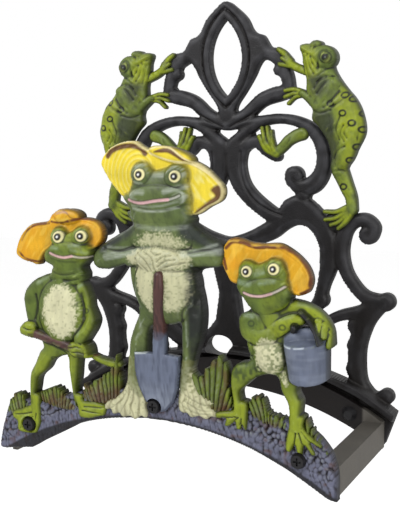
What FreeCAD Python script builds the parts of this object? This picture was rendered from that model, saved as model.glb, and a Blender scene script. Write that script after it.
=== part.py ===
import FreeCAD, Part
import math
import os

# Cast hose hanger in millimetres. The wall is the plane Y = 0, the hanger stands out towards -Y,
# Z is up and X = 0 is its middle. Heights below are from about the lowest corner of the front plate;
# each finished sub-part is then lowered, so that the origin lies midway between the wall screws.

Vector = FreeCAD.Vector
doc = FreeCAD.newDocument("hose_hanger")

# Driving dimensions
SIZES = (
    ("plate_half_width", 140, "back plate, middle to the outer curls"),
    ("plate_height", 345, "back plate, Z of the tip"),
    ("plate_thick", 8, "back plate, flat bands"),
    ("band_width", 10, "usual width of a scroll band"),
    ("curl_radius", 7, "round end of a scroll"),
    ("eye_width", 9.4, "round openings in the foot of the middle bar"),
    ("arch_radius", 240, "every arched edge of the hose rest"),
    ("ledge_crown", 71, "top of the ledge at the middle"),
    ("ledge_thick", 6, "ledge, top to underside"),
    ("ledge_reach", 9, "ledge, beyond the face of the plate"),
    ("ledge_half_width", 141, "ledge, middle to end"),
    ("skirt_crown", 37, "lower edge of the back plate at the middle"),
    ("skirt_half_width", 133, "lower edge of the back plate, middle to end"),
    ("saddle_depth", 120, "between the back plate and the front plate"),
    ("bar_thick", 6, "arched bars of the saddle, along Y"),
    ("rear_bar_crown", 58, "top of the rear bar at the middle"),
    ("rear_bar_height", 21, "rear bar, top to lower edge"),
    ("front_bar_crown", 58, "top of the front bar at the middle"),
    ("front_bar_height", 16, "front bar, top to lower edge"),
    ("frame_half_width", 131, "saddle, middle to the outer face of an end bar"),
    ("end_bar_width", 15, "end bar, top flange"),
    ("end_bar_height", 20, "end bar, outer flange"),
    ("end_bar_top", 18.5, "Z of the top of an end bar"),
    ("end_bar_wall", 4.5, "thickness of both flanges"),
    ("front_half_width", 136, "front plate, middle to end"),
    ("front_height", 232, "front plate, Z of the tallest hat"),
    ("front_thick", 9, "ground strip of the front plate"),
    ("front_crown", 40, "lower edge of the front plate at the middle"),
    ("ground_height", 24, "ground strip, lower to upper edge"),
    ("relief_depth", 24, "front figures, from the back of the plate"),
    ("bucket_width", 32, "bucket, across its rim"),
    ("bucket_height", 35, "bucket"),
    ("bucket_wall", 1.5, "bucket, thickness of its side"),
    ("bucket_well", 12, "bucket, depth of its hollow"),
    ("climber_depth", 16, "climbing figures, beyond the face of the plate"),
    ("screw_head_width", 11, "front screw, head"),
    ("screw_head_height", 3.2, "front screw, head"),
    ("screw_width", 5, "front screw, shank"),
    ("screw_spread", 107.5, "outer front screws, from the middle"),
    ("screw_crown", 49.5, "line of the front screws at the middle"),
    ("nut_width", 9, "nut, across its flats"),
    ("nut_height", 4.5, "nut"),
    ("bolt_head_width", 12, "rear bolt, domed head"),
    ("bolt_head_height", 4.5, "rear bolt, domed head"),
    ("bolt_width", 6, "rear bolt, shank"),
    ("bolt_spread", 105, "outer rear bolts, from the middle"),
    ("bolt_crown", 47.5, "line of the rear bolts at the middle"),
    ("hole_clearance", 0.3, "round a shank, on the radius"),
    ("seat_clearance", 1.0, "round a screw head, on the radius"),
    ("boss_width", 19, "wall screw boss"),
    ("wall_hole_width", 5.5, "wall screw hole"),
    ("wall_hole_spread", 40, "wall screw hole, from the middle"),
    ("wall_hole_height", 95, "Z of the wall screw holes"),
)
sheet = doc.addObject("Spreadsheet::Sheet", "sizes")
for row, (name, value, note) in enumerate(SIZES, 1):
    sheet.set(f"A{row}", note)
    sheet.set(f"B{row}", str(value))
    sheet.setAlias(f"B{row}", name)
doc.recompute()


def size(name):
    return float(sheet.get(name))


PLATE_FACE = -size("plate_thick")
FRONT_BACK = PLATE_FACE - size("saddle_depth")
GROUND_FACE = FRONT_BACK - size("front_thick")
ACROSS = Vector(1, 0, 0)
OUT = Vector(0, -1, 0)


def arch_z(crown, x):
    """Height at x of an arched edge whose middle is at the given crown."""
    radius = size("arch_radius")
    return crown - radius + math.sqrt(radius**2 - x**2)


def mirrored(shape):
    return shape.mirror(Vector(0, 0, 0), ACROSS)


def prism(face, y_from, y_to):
    """A flat face drawn at Y = 0, moved to y_from and extruded to y_to."""
    return face.translated(Vector(0, y_from, 0)).extrude(Vector(0, y_to - y_from, 0))


# Rise in mm below which an arc is drawn as a line
FLATTEST = 1.0


def curve(start, middle, end):
    """Edge through three points: an arc, or a line where its rise would be under FLATTEST."""
    chord = end - start
    if (middle - start).cross(chord).Length < FLATTEST * chord.Length:
        return Part.makeLine(start, end)
    return Part.Arc(start, middle, end).toShape()


def curved_face(points):
    """Flat face inside a closed chain of arcs; each arc takes three of the points."""
    around = points + points[:1]
    edges = [curve(*three) for three in zip(around[0::2], around[1::2], around[2::2])]
    return Part.Face(Part.Wire(edges))


def arch_face(low_crown, low_half, high_crown, high_half):
    """Flat face between two arched edges of the common radius."""
    edges = []
    for crown, half in ((low_crown, low_half), (high_crown, high_half)):
        ends = [Vector(x, 0, arch_z(crown, half)) for x in (-half, half)]
        edges.append((ends, Part.Arc(ends[0], Vector(0, 0, crown), ends[1]).toShape()))
    (low, low_arc), (high, high_arc) = edges
    sides = [Part.makeLine(low[1], high[1]), Part.makeLine(high[0], low[0])]
    return Part.Face(Part.Wire(Part.__sortEdges__([low_arc, high_arc] + sides)))


def joined(shapes):
    return shapes[0].multiFuse(shapes[1:]).removeSplitter()


def both_sides(faces, y_from, y_to):
    """One solid from flat faces of the right half, extruded, joined and mirrored."""
    half = joined([prism(face, y_from, y_to) for face in faces])
    return joined([half, mirrored(half)])


def drill(x, z, width, y_from, y_to):
    """Round cutter along Y."""
    return Part.makeCylinder(width / 2, abs(y_to - y_from), Vector(x, max(y_from, y_to), z), OUT)


# Scrolls of the back plate. Points are on a grid that is stretched to the plate's half width and
# height: X, Z, half width of the band in tenths of the usual width.
GRID_X = 140
GRID_Z = 345


def on_plate(x, z):
    return Vector(x * size("plate_half_width") / GRID_X, 0, z * size("plate_height") / GRID_Z)


def band(points):
    """Face of one scroll band: a smooth centre line, widened to each side, with round ends."""
    places = [on_plate(x, z) for x, z, _ in points]
    halves = [tenths * size("band_width") / 10 for _, _, tenths in points]
    steps = [0.0]
    for start, end in zip(places, places[1:]):
        steps.append(steps[-1] + start.distanceToPoint(end))
    centre = Part.BSplineCurve()
    centre.interpolate(Points=places, Parameters=steps)
    stations = []
    for low, high, half_low, half_high in zip(steps, steps[1:], halves, halves[1:]):
        for part in (0.0, 0.5):
            stations.append((low + part * (high - low), half_low + part * (half_high - half_low)))
    stations.append((steps[-1], halves[-1]))
    rows = []
    for step, half in stations:
        along = centre.tangent(step)[0]
        aside = Vector(-along.z, 0, along.x) * half
        rows.append((centre.value(step), along * half, aside))
    sides = []
    for sign in (1, -1):
        edge = [spot + aside * sign for spot, _, aside in rows]
        sides += [curve(*three) for three in zip(edge[0::2], edge[1::2], edge[2::2])]
    caps = []
    for (spot, along, aside), way in ((rows[0], -1), (rows[-1], 1)):
        caps.append(Part.Arc(spot + aside, spot + along * way, spot - aside).toShape())
    return Part.Face(Part.Wire(Part.__sortEdges__(sides + caps)))


BANDS = {
    "side of the fleur": ((37, 302, 4.5), (46, 296, 5), (51, 284, 5), (53, 274, 4.5)),
    "leaf arm": ((4, 250, 5), (17, 256, 5), (30, 266.5, 5.5), (44, 271, 6), (53, 272, 4.5)),
    "tie": ((0, 248, 4), (15, 249, 4.5), (30, 250, 3.5)),
    "upper scroll": (
        (4, 228, 6), (13, 239, 5), (26, 248.5, 4.3), (43, 251.7, 4), (60, 249, 4.2),
        (74, 240, 5), (81, 225, 5), (79, 210, 5), (70, 199, 5), (60, 197, 5), (54, 203, 5),
    ),
    "foot leaf": ((8, 220, 6), (15, 231, 5), (26, 236, 3.5)),
    "middle bar": (
        (7, 230, 8), (8, 210, 8), (15, 195, 7), (30, 181.5, 6.5), (46, 173, 6.5), (62, 178, 9),
    ),
    "lower scroll": (
        (46, 170, 6), (60, 179, 9.5), (76, 171, 8), (84.5, 155, 7.5), (85, 138, 7),
        (81, 122, 5), (78, 110, 5),
    ),
    "cross arm": ((48, 171, 6), (34, 165, 5), (18, 156, 5), (0, 150, 6)),
    "lower arm": ((79, 108, 5), (66, 104, 4.5), (48, 98, 5), (30, 88, 5), (14, 78, 6)),
    "outer scroll": (
        (116, 168, 9), (107, 173, 6.5), (98, 167, 6), (95, 150, 6.2), (98, 136, 5.2),
        (104, 125, 4.8), (114, 114.5, 5), (128, 110, 6),
    ),
    "corner arm": ((122, 106, 6), (108, 101.5, 5), (94, 98, 4.2), (82, 91, 4.2), (71, 79, 4.5), (64, 62, 5)),
    "pillar": ((122, 107, 8), (114, 95, 8), (109, 77, 7), (108, 60, 7), (110, 46, 7), (116, 34, 8)),
    "foot curl": ((112, 40, 6), (122, 35, 4.5), (132, 36, 6)),
}
CURLS = (
    (57, 207, 1.1), (115, 167.5, 1.5), (131, 111, 1.0), (132, 36, 0.9), (80, 110, 0.75),
    (107, 91, 0.9), (106.5, 75.5, 0.85), (106.5, 57, 0.95),
)


def fleur_face():
    """Pointed leaf at the top, with a pointed oval opening in it."""
    right = [on_plate(x, z) for x, z in ((0, 345), (12, 333.5), (21, 320))]
    lobe = [on_plate(x, z) for x, z in ((21, 320), (31, 316.5), (36, 307.5))]
    stem = [on_plate(x, z) for x, z in ((40, 303), (23, 281), (8, 256))]
    foot = on_plate(0, 250)
    edges = [
        curve(*right), curve(*lobe), Part.makeLine(lobe[-1], stem[0]), curve(*stem),
        Part.makeLine(stem[-1], foot), Part.makeLine(foot, right[0]),
    ]
    half = Part.Face(Part.Wire(edges))
    top, side, low = [on_plate(x, z) for x, z in ((0, 331), (14, 302), (0, 270))]
    eye = Part.Wire([curve(top, side, low), Part.makeLine(low, top)])
    return half.cut(Part.Face(eye))


def baluster_face():
    """Half of the waisted bar in the middle, down to the ledge, with a round eye."""
    upper = [on_plate(x, z) for x, z in ((21, 155), (13, 134), (8.5, 111))]
    lower = [on_plate(x, z) for x, z in ((8.5, 111), (11.5, 90), (23, 74))]
    top, foot, low = on_plate(0, 155), on_plate(25, 56), on_plate(0, 56)
    edges = [
        Part.makeLine(top, upper[0]), curve(*upper), curve(*lower), Part.makeLine(lower[-1], foot),
        Part.makeLine(foot, low), Part.makeLine(low, top),
    ]
    eye = on_plate(13, 70)
    return Part.Face(Part.Wire(edges)).cut(drill(eye.x, eye.z, size("eye_width"), 1, -1))


def lace():
    """The openwork of bands and curls."""
    faces = [fleur_face(), baluster_face()] + [band(points) for points in BANDS.values()]
    for x, z, share in CURLS:
        rim = Part.Circle(on_plate(x, z), OUT, share * size("curl_radius"))
        faces.append(Part.Face(Part.Wire([rim.toShape()])))
    return both_sides(faces, 0, PLATE_FACE)


# Rounded forms of the figures, in flat facets: each goes straight back to the back of its casting
# and is domed towards the front. Pairs: share of the dome's height, share of its width.
DOME = ((0.0, 1.0), (0.75, 0.62))


def stack(rings):
    """Solid between flat polygons with the same number of corners."""
    faces = [Part.Face(Part.makePolygon(end + end[:1])) for end in (rings[0], rings[-1])]
    for low, high in zip(rings, rings[1:]):
        for here in range(len(low)):
            corners = [low[here - 1], low[here], high[here], high[here - 1], low[here - 1]]
            faces.append(Part.Face(Part.makePolygon(corners)))
    solid = Part.Solid(Part.Shell(faces))
    if solid.Volume < 0:
        solid.reverse()
    return solid


def ring(spot, across, upright, count):
    """Corners of a polygon round a spot, from the two half axes of its oval."""
    turns = [2 * math.pi * (corner + 0.5) / count for corner in range(count)]
    return [spot + across * math.cos(turn) + upright * math.sin(turn) for turn in turns]


def mass(spot, back, halves, tilt=0.0, count=8):
    """Rounded mass with half sizes along X, Y and Z, turned about Y by tilt degrees."""
    turn = math.radians(tilt)
    half_x, half_out, half_z = halves
    across = Vector(math.cos(turn), 0, -math.sin(turn)) * half_x
    upright = Vector(math.sin(turn), 0, math.cos(turn)) * half_z
    rings = [ring(Vector(spot.x, back, spot.z), across, upright, count)]
    for height, width in DOME:
        place = spot + OUT * (height * half_out)
        rings.append(ring(place, across * width, upright * width, count))
    return stack(rings)


def ball(spot, back, radius):
    return mass(spot, back, (radius, radius, radius), count=6)


def limb(joints, back):
    """Tapered limb through (spot, radius) joints: ridged bars with a rounded mass at each bend."""
    shapes = []
    for (start, first), (end, last) in zip(joints, joints[1:]):
        aside = Vector(start.z - end.z, 0, end.x - start.x).normalize()
        rings = []
        for spot, radius in ((start, first), (end, last)):
            rings.append([Vector(spot.x, back, spot.z) + aside * -radius] + [
                spot + aside * (across * radius) + OUT * (height * radius)
                for across, height in ((-1, 0), (-0.55, 0.8), (0.55, 0.8), (1, 0))
            ] + [Vector(spot.x, back, spot.z) + aside * radius])
        shapes.append(stack(rings))
    return shapes + [ball(spot, back, radius) for spot, radius in joints[1:-1]]


def fan_face(heel, toes, heel_half, toe_half):
    """Webbed hand or foot: a heel with blunt toes spread round it and a notch between them."""
    ways = [toe - heel for toe in toes]
    middle = sum(ways, Vector())
    ways.sort(key=lambda way: (middle.x * way.z - middle.z * way.x) / way.Length, reverse=True)
    sides = [Vector(-way.z, 0, way.x) / way.Length for way in ways]
    corners = [heel + sides[0] * heel_half]
    for place, (way, side) in enumerate(zip(ways, sides)):
        corners += [heel + way + side * toe_half, heel + way - side * toe_half]
        if place + 1 < len(ways):
            corners.append(heel + (way + ways[place + 1]) * 0.27)
    corners.append(heel - sides[-1] * heel_half)
    return Part.Face(Part.makePolygon(corners + [corners[0]]))


def climber():
    """Masses of the right-hand climbing frog, let a little into the face of the plate."""
    deep = size("climber_depth")
    rest = PLATE_FACE + 2

    def spot(x, z, out):
        return on_plate(x, z) + OUT * (out * deep - PLATE_FACE)

    shapes = [
        mass(spot(78, 296, 0.25), rest, (16, deep * 0.6, 10.5), 24),
        mass(spot(93, 266, 0.15), rest, (17, deep * 0.8, 30), -22),
        mass(spot(101, 241, 0.15), rest, (14, deep * 0.75, 19), -8),
        ball(spot(83, 298, 0.65), rest, 5), ball(spot(75, 305, 0.25), rest, 5),
    ]
    for joints in (
        ((74, 284, 0.3, 7), (61, 289, 0.2, 5), (49, 300, 0.1, 3.4)),
        ((86, 277, 0.5, 8), (72, 262, 0.4, 6), (55, 268, 0.1, 3.6)),
        ((100, 234, 0.3, 12), (92, 213, 0.3, 7), (103, 186, 0.1, 4.6)),
        ((80, 244, 0.1, 9), (62, 239, 0.1, 5.6), (42, 223, 0.1, 5)),
    ):
        shapes += limb([(spot(x, z, out), radius) for x, z, out, radius in joints], rest)
    fans = (
        ((51, 298), ((44, 307), (41, 301), (44, 296)), 3, 1.4),
        ((58, 267.5), ((48, 274), (47, 269), (51, 263)), 3, 1.4),
        ((103, 181), ((95, 166), (86, 168.5), (80, 176)), 4, 1.6),
        ((41, 222), ((26, 238), (31, 245), (38, 244)), 4, 1.6),
    )
    for heel, toes, heel_half, toe_half in fans:
        face = fan_face(on_plate(*heel), [on_plate(*toe) for toe in toes], heel_half, toe_half)
        shapes.append(prism(face, rest, PLATE_FACE - deep * 0.3))
    return shapes


def bolt_places():
    for x in (-size("bolt_spread"), 0, size("bolt_spread")):
        yield x, arch_z(size("bolt_crown"), x)


def screw_places():
    for x in (-size("screw_spread"), 0, size("screw_spread")):
        yield x, arch_z(size("screw_crown"), x)


def wall_places():
    for x in (-size("wall_hole_spread"), size("wall_hole_spread")):
        yield x, size("wall_hole_height")


def back_plate():
    """Openwork plate with its skirt and ledge, and a climbing frog on each side."""
    skirt = arch_face(
        size("skirt_crown"), size("skirt_half_width"), size("ledge_crown"), size("ledge_half_width")
    )
    ledge = arch_face(
        size("ledge_crown") - size("ledge_thick"), size("ledge_half_width"),
        size("ledge_crown"), size("ledge_half_width"),
    )
    bosses = [drill(x, z, size("boss_width"), 0, PLATE_FACE) for x, z in wall_places()]
    plate = joined([lace(), prism(skirt, 0, PLATE_FACE)] + bosses)
    plate = plate.fuse(prism(ledge, PLATE_FACE + 1, PLATE_FACE - size("ledge_reach")))
    clear = 2 * size("hole_clearance")
    cuts = [drill(x, z, size("bolt_width") + clear, 1, PLATE_FACE - 1) for x, z in bolt_places()]
    cuts += [drill(x, z, size("wall_hole_width"), 1, PLATE_FACE - 1) for x, z in wall_places()]
    frog = joined(climber())
    return plate.cut(cuts).fuse(frog).fuse(mirrored(frog)).removeSplitter()


# Figures of the front plate, on a grid stretched to the plate's half width and height
FRONT_GRID_X = 136
FRONT_GRID_Z = 232


def on_front(x, z):
    across = size("front_half_width") / FRONT_GRID_X
    return Vector(x * across, 0, z * size("front_height") / FRONT_GRID_Z)


def in_front(x, z, out):
    """A place on the front plate, out of its back by a share of the relief's depth."""
    return on_front(x, z) + Vector(0, FRONT_BACK - out * size("relief_depth"), 0)


def tuft_face(x_from, x_to, z_top, lean):
    """Row of grass blades: pointed tips with notches between, taller in the middle."""
    count = round((x_to - x_from) / 7)
    step = (x_to - x_from) / count
    z_base = arch_z(size("front_crown"), (x_from + x_to) / 2) + 4
    corners = [on_front(x_from, z_base)]
    for blade in range(count):
        rise = (z_top - z_base) * (0.72 + 0.28 * math.sin(math.pi * (blade + 0.5) / count))
        corners.append(on_front(x_from + step * (blade + 0.5) + lean, z_base + rise))
        corners.append(on_front(x_from + step * (blade + 1) + lean * 0.5, z_base + rise * 0.62))
    corners[-1] = on_front(x_to, z_base)
    return Part.Face(Part.makePolygon(corners + [corners[0]]))


def hat(outline, crown, out):
    """Straw hat: a wavy brim with a domed crown behind its upper edge."""
    brim = curved_face([on_front(x, z) for x, z in outline])
    depth = out * size("relief_depth")
    dome_x, dome_z, half_x, half_z = crown
    dome = mass(in_front(dome_x, dome_z, out * 0.7), FRONT_BACK, (half_x, depth * 0.6, half_z))
    return [prism(brim, FRONT_BACK, FRONT_BACK - depth), dome]


def frog(masses, eyes, limbs, fans):
    """Standing frog from rounded masses, eyes, limbs and webbed hands and feet."""
    deep = size("relief_depth")
    shapes = []
    for x, z, out, half_x, half_out, half_z, tilt in masses:
        halves = (half_x, half_out * deep, half_z)
        shapes.append(mass(in_front(x, z, out), FRONT_BACK, halves, tilt))
    for x, z, out, radius in eyes:
        shapes.append(ball(in_front(x, z, out), FRONT_BACK, radius))
    for joints in limbs:
        shapes += limb([(in_front(x, z, out), radius) for x, z, out, radius in joints], FRONT_BACK)
    for heel, toes, heel_half, toe_half, out in fans:
        face = fan_face(on_front(*heel), [on_front(*toe) for toe in toes], heel_half, toe_half)
        shapes.append(prism(face, FRONT_BACK, FRONT_BACK - out * deep))
    return shapes


def tall_frog():
    brim = (
        (-18, 198), (-31, 208), (-36, 220), (-29, 231), (-12, 235), (-4, 234), (2, 229), (22, 231),
        (45, 219), (57, 206), (50, 193), (15, 189),
    )
    shapes = hat(brim, (14, 222, 22, 9), 0.6)
    shapes += frog(
        masses=(
            (9, 198, 0.35, 26, 0.62, 17, 0),
            (10, 148, 0.2, 27, 0.72, 40, 0),
            (10, 178, 0.25, 22, 0.55, 16, 0),
            (10, 120, 0.2, 26, 0.6, 18, 0),
        ),
        eyes=((-5, 212, 0.7, 7.5), (22, 211.5, 0.7, 7.5)),
        limbs=(
            ((-9, 168, 0.3, 12), (-40, 153, 0.3, 7.5), (2, 153, 0.8, 5.5)),
            ((30, 168, 0.3, 12), (51, 160, 0.3, 8), (15, 153, 0.8, 5.5)),
            ((-5, 118, 0.3, 14), (-14, 94, 0.35, 11), (-16, 70, 0.35, 9)),
            ((25, 118, 0.3, 14), (32, 94, 0.35, 10), (28, 70, 0.35, 9)),
        ),
        fans=(
            ((-16, 74), ((-38, 43), (-24, 41), (-8, 44)), 9, 4, 0.62),
            ((27, 72), ((14, 48), (34, 46), (46, 50)), 9, 4, 0.62),
            ((9, 160), ((-2, 144), (9, 142), (20, 144)), 9, 3, 0.95),
        ),
    )
    blade = (
        (-10, 88), (10, 87), (28, 88), (27, 70), (20, 54), (9, 46), (-3, 54), (-10, 70),
    )
    blade_face = curved_face([on_front(x, z) for x, z in blade])
    shapes.append(prism(blade_face, FRONT_BACK, in_front(0, 0, 0.75).y))
    handle = ((11, 80, 0.75, 6), (11, 101, 0.85, 4.6), (11, 146, 0.9, 4))
    shapes += limb([(in_front(x, z, out), radius) for x, z, out, radius in handle], FRONT_BACK)
    return shapes


def left_frog():
    brim = (
        (-91, 147), (-106, 148), (-112, 157), (-106, 168), (-96, 176), (-88, 178), (-79, 184),
        (-68, 188), (-56, 182), (-38, 177), (-37, 164), (-62, 158),
    )
    shapes = hat(brim, (-69, 178, 15, 10), 0.6)
    shapes += frog(
        masses=(
            (-68, 159, 0.3, 20, 0.6, 14.5, 0),
            (-74, 114, 0.2, 24, 0.7, 29, 0),
            (-70, 138, 0.2, 16, 0.5, 12, 0),
        ),
        eyes=((-75, 167.5, 0.65, 6.2), (-55.5, 168.5, 0.65, 6.2)),
        limbs=(
            ((-90, 132, 0.25, 9), (-101, 114, 0.25, 7), (-103, 97, 0.55, 6)),
            ((-56, 130, 0.25, 10), (-49, 108, 0.3, 8), (-62, 87, 0.7, 6)),
            ((-85, 92, 0.25, 12), (-98, 67, 0.3, 8), (-100, 42, 0.35, 5.5)),
            ((-66, 92, 0.25, 12), (-62, 67, 0.3, 8), (-62, 46, 0.35, 5.5)),
            ((-98, 94, 0.75, 3.8), (-68, 87, 0.8, 3.6), (-38, 81, 0.6, 2.6)),
        ),
        fans=(
            ((-101, 44), ((-123, 33), (-116, 23), (-105, 21)), 6, 2.6, 0.55),
            ((-62, 49), ((-56, 37), (-46, 41), (-42, 47)), 6, 2.6, 0.55),
        ),
    )
    return shapes


def right_frog():
    brim = (
        (64, 141), (54, 156), (60, 170), (78, 166.5), (98, 168), (113, 158), (118, 145),
        (116, 138), (109, 135), (88, 140),
    )
    shapes = hat(brim, (83, 163, 18, 7), 0.6)
    shapes += frog(
        masses=(
            (83, 141, 0.3, 19, 0.6, 14, -8),
            (84, 104, 0.2, 17, 0.7, 25, 0),
        ),
        eyes=((73, 149.5, 0.65, 5.8), (92, 152, 0.65, 5.8)),
        limbs=(
            ((76, 118, 0.35, 9), (80, 108, 0.55, 8), (106, 121, 0.75, 5)),
            ((98, 127, 0.25, 8), (124, 121, 0.4, 7), (131, 104, 0.5, 5.5)),
            ((84, 88, 0.3, 12), (68, 80, 0.35, 9), (66, 50, 0.35, 5.5)),
            ((92, 84, 0.3, 11), (104, 64, 0.35, 8), (107, 45, 0.35, 5.5)),
        ),
        fans=(
            ((66, 54), ((50, 48), (58, 43), (69, 44)), 6, 2.6, 0.55),
            ((107, 48), ((101, 33), (110, 30), (121, 38)), 6, 2.6, 0.55),
        ),
    )
    rim, tall = size("bucket_width") / 2, size("bucket_height")
    inner = rim - size("bucket_wall")
    pail, well = [], []
    for height, radius, rings in (
        (0, rim * 0.83, pail), (tall, rim, pail),
        (tall - size("bucket_well"), inner * 0.9, well), (tall + 1, inner, well),
    ):
        spot = in_front(113, 77, 0.65) + Vector(0, 0, height)
        rings.append(ring(spot, ACROSS * radius, OUT * radius, 12))
    return shapes + [stack(pail).cut(stack(well))]


TUFTS = (
    (-129, -104, 53, 1), (-96, -66, 57, -1), (-58, -22, 78, 3), (36, 62, 92, 2), (74, 92, 71, -2),
    (110, 128, 56, -3),
)


def front_plate():
    """Arched ground strip with grass, and the three figures joined to it one by one."""
    crown = size("front_crown")
    half = size("front_half_width")
    ground = arch_face(crown, half, crown + size("ground_height"), half * 0.9)
    tufts = [prism(tuft_face(*tuft), FRONT_BACK, GROUND_FACE + 1.5) for tuft in TUFTS]
    plate = prism(ground, FRONT_BACK, GROUND_FACE).multiFuse(tufts)
    for figure in (tall_frog(), left_frog(), right_frog()):
        plate = plate.fuse(joined(figure))
    cuts = []
    seat = size("screw_head_width") + 2 * size("seat_clearance")
    hole = size("screw_width") + 2 * size("hole_clearance")
    for x, z in screw_places():
        cuts.append(drill(x, z, seat, GROUND_FACE, GROUND_FACE - 2 * size("relief_depth")))
        cuts.append(drill(x, z, hole, FRONT_BACK + 1, GROUND_FACE - 1))
    return plate.cut(cuts)


# Fasteners, each kind a group of separate solids
def front_screws():
    """Pan-head screws with a cross recess, through the front plate and the front bar."""
    head = size("screw_head_width") / 2
    tall = size("screw_head_height")
    length = size("front_thick") + size("bar_thick") + size("nut_height") + 2
    screws = []
    for x, z in screw_places():
        cap = Part.makeCone(head, head * 0.8, tall, Vector(x, GROUND_FACE, z), OUT)
        for wide, high in ((head, head * 0.22), (head * 0.22, head)):
            corner = Vector(x - wide / 2, GROUND_FACE - tall * 1.5, z - high / 2)
            cap = cap.cut(Part.makeBox(wide, tall, high, corner))
        shank = drill(x, z, size("screw_width"), GROUND_FACE, GROUND_FACE + length)
        screws.append(cap.fuse(shank).removeSplitter())
    return Part.makeCompound(screws)


def front_nuts():
    """Hexagon nuts behind the front bar."""
    across = size("nut_width") / math.sqrt(3)
    bar_back = FRONT_BACK + size("bar_thick")
    nuts = []
    for x, z in screw_places():
        turns = [math.radians(60 * corner) for corner in range(7)]
        rim = [Vector(x + across * math.cos(a), bar_back, z + across * math.sin(a)) for a in turns]
        block = Part.Face(Part.makePolygon(rim)).extrude(Vector(0, size("nut_height"), 0))
        bore = size("screw_width") + 0.4 * size("hole_clearance")
        nuts.append(block.cut(drill(x, z, bore, bar_back - 1, bar_back + size("nut_height") + 1)))
    return Part.makeCompound(nuts)


def rear_bolts():
    """Round-headed bolts through the rear bar, into the skirt of the back plate."""
    head = size("bolt_head_width") / 2
    tall = size("bolt_head_height")
    bar_face = PLATE_FACE - size("bar_thick")
    bolts = []
    for x, z in bolt_places():
        cap = Part.makeCone(head, head * 0.55, tall, Vector(x, bar_face, z), OUT)
        shank = drill(x, z, size("bolt_width"), bar_face, -1)
        bolts.append(cap.fuse(shank).removeSplitter())
    return Part.makeCompound(bolts)


# Saddle: an open frame of two arched bars and two angle-section end bars
def block(name, x, y, z, length, width, height):
    item = doc.addObject("Part::Box", name)
    for prop, formula in (
        ("Length", length), ("Width", width), ("Height", height),
        ("Placement.Base.x", x), ("Placement.Base.y", y), ("Placement.Base.z", z),
    ):
        item.setExpression(prop, formula)
    return item


def rod(name, radius, x, y, z, length):
    """Cylinder that starts at Y = y and runs towards -Y."""
    item = doc.addObject("Part::Cylinder", name)
    item.Placement.Rotation = FreeCAD.Rotation(Vector(1, 0, 0), 90)
    for prop, formula in (
        ("Radius", radius), ("Height", length),
        ("Placement.Base.x", x), ("Placement.Base.y", y), ("Placement.Base.z", z),
    ):
        item.setExpression(prop, formula)
    return item


def arched_bar(name, crown, tall, y):
    """Bar between two cylinders of the arch radius, cut off at the saddle's half width."""
    half = "sizes.frame_half_width"
    outer = rod(f"{name}_outer", "sizes.arch_radius", "0", y, f"{crown} - sizes.arch_radius",
                "sizes.bar_thick")
    inner = rod(f"{name}_inner", "sizes.arch_radius", "0", f"{y} + 1",
                f"{crown} - {tall} - sizes.arch_radius", "sizes.bar_thick + 2")
    ring = doc.addObject("Part::Cut", f"{name}_ring")
    ring.Base, ring.Tool = outer, inner
    keep = block(f"{name}_keep", f"-{half}", f"{y} - sizes.bar_thick - 1", f"{crown} - sizes.arch_radius",
                 f"2 * {half}", "sizes.bar_thick + 2", "sizes.arch_radius + 1")
    bar = doc.addObject("Part::Common", name)
    bar.Base, bar.Tool = ring, keep
    return bar


def saddle_frame():
    wall, half = "sizes.end_bar_wall", "sizes.frame_half_width"
    low = "sizes.end_bar_top - sizes.end_bar_height"
    front = "-sizes.plate_thick - sizes.saddle_depth"
    pieces = [
        arched_bar("rear_bar", "sizes.rear_bar_crown", "sizes.rear_bar_height", "-sizes.plate_thick"),
        arched_bar("front_bar", "sizes.front_bar_crown", "sizes.front_bar_height",
                   f"{front} + sizes.bar_thick"),
    ]
    for side, top_x, wall_x in (
        ("right", f"{half} - sizes.end_bar_width", f"{half} - {wall}"), ("left", f"-{half}", f"-{half}"),
    ):
        pieces.append(block(f"{side}_top", top_x, front, f"sizes.end_bar_top - {wall}",
                            "sizes.end_bar_width", "sizes.saddle_depth", wall))
        pieces.append(block(f"{side}_wall", wall_x, front, low, wall, "sizes.saddle_depth",
                            "sizes.end_bar_height"))
    whole = doc.addObject("Part::MultiFuse", "saddle_whole")
    whole.Shapes = pieces
    whole.Refine = True
    holes = []
    for kind, y in (("bolt", "1 - sizes.plate_thick"), ("screw", f"{front} + sizes.bar_thick + 1")):
        for place, sign in (("left", "-1"), ("middle", "0"), ("right", "1")):
            x = f"{sign} * sizes.{kind}_spread"
            drop = f"sizes.arch_radius - sqrt(sizes.arch_radius ^ 2 - ({x}) ^ 2)"
            holes.append(rod(f"{kind}_hole_{place}", f"sizes.{kind}_width / 2 + sizes.hole_clearance",
                             x, y, f"sizes.{kind}_crown - ({drop})", "sizes.bar_thick + 2"))
    drilled = doc.addObject("Part::Cut", "saddle_frame")
    bores = doc.addObject("Part::Compound", "saddle_bores")
    bores.Links = holes
    drilled.Base, drilled.Tool = whole, bores
    return drilled


def feature(name, shape):
    item = doc.addObject("Part::Feature", name)
    item.Shape = shape
    return item


subparts = [saddle_frame()]
for build in (back_plate, front_plate, front_screws, front_nuts, rear_bolts):
    subparts.append(feature(build.__name__, build()))
for item in subparts:
    item.Label = item.Name
    item.setExpression("Placement.Base.z", "-sizes.wall_hole_height")
doc.recompute()

for item in doc.Objects:
    if {"Invalid", "Error"} & set(item.State):
        raise RuntimeError(f"{item.Label} did not build: {item.State}")
for item in subparts:
    if item.Shape.isNull() or not item.Shape.isValid():
        raise RuntimeError(f"{item.Label} has no valid shape")

os.makedirs("parts", exist_ok=True)
for item in subparts:
    item.Shape.exportStep(f"parts/{item.Label}.step")
    box = item.Shape.BoundBox
    print(item.Label, len(item.Shape.Solids), "solids", round(item.Shape.Volume / 1000, 1), "cm3",
          [round(v, 1) for v in (box.XMin, box.XMax, box.YMin, box.YMax, box.ZMin, box.ZMax)])
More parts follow.
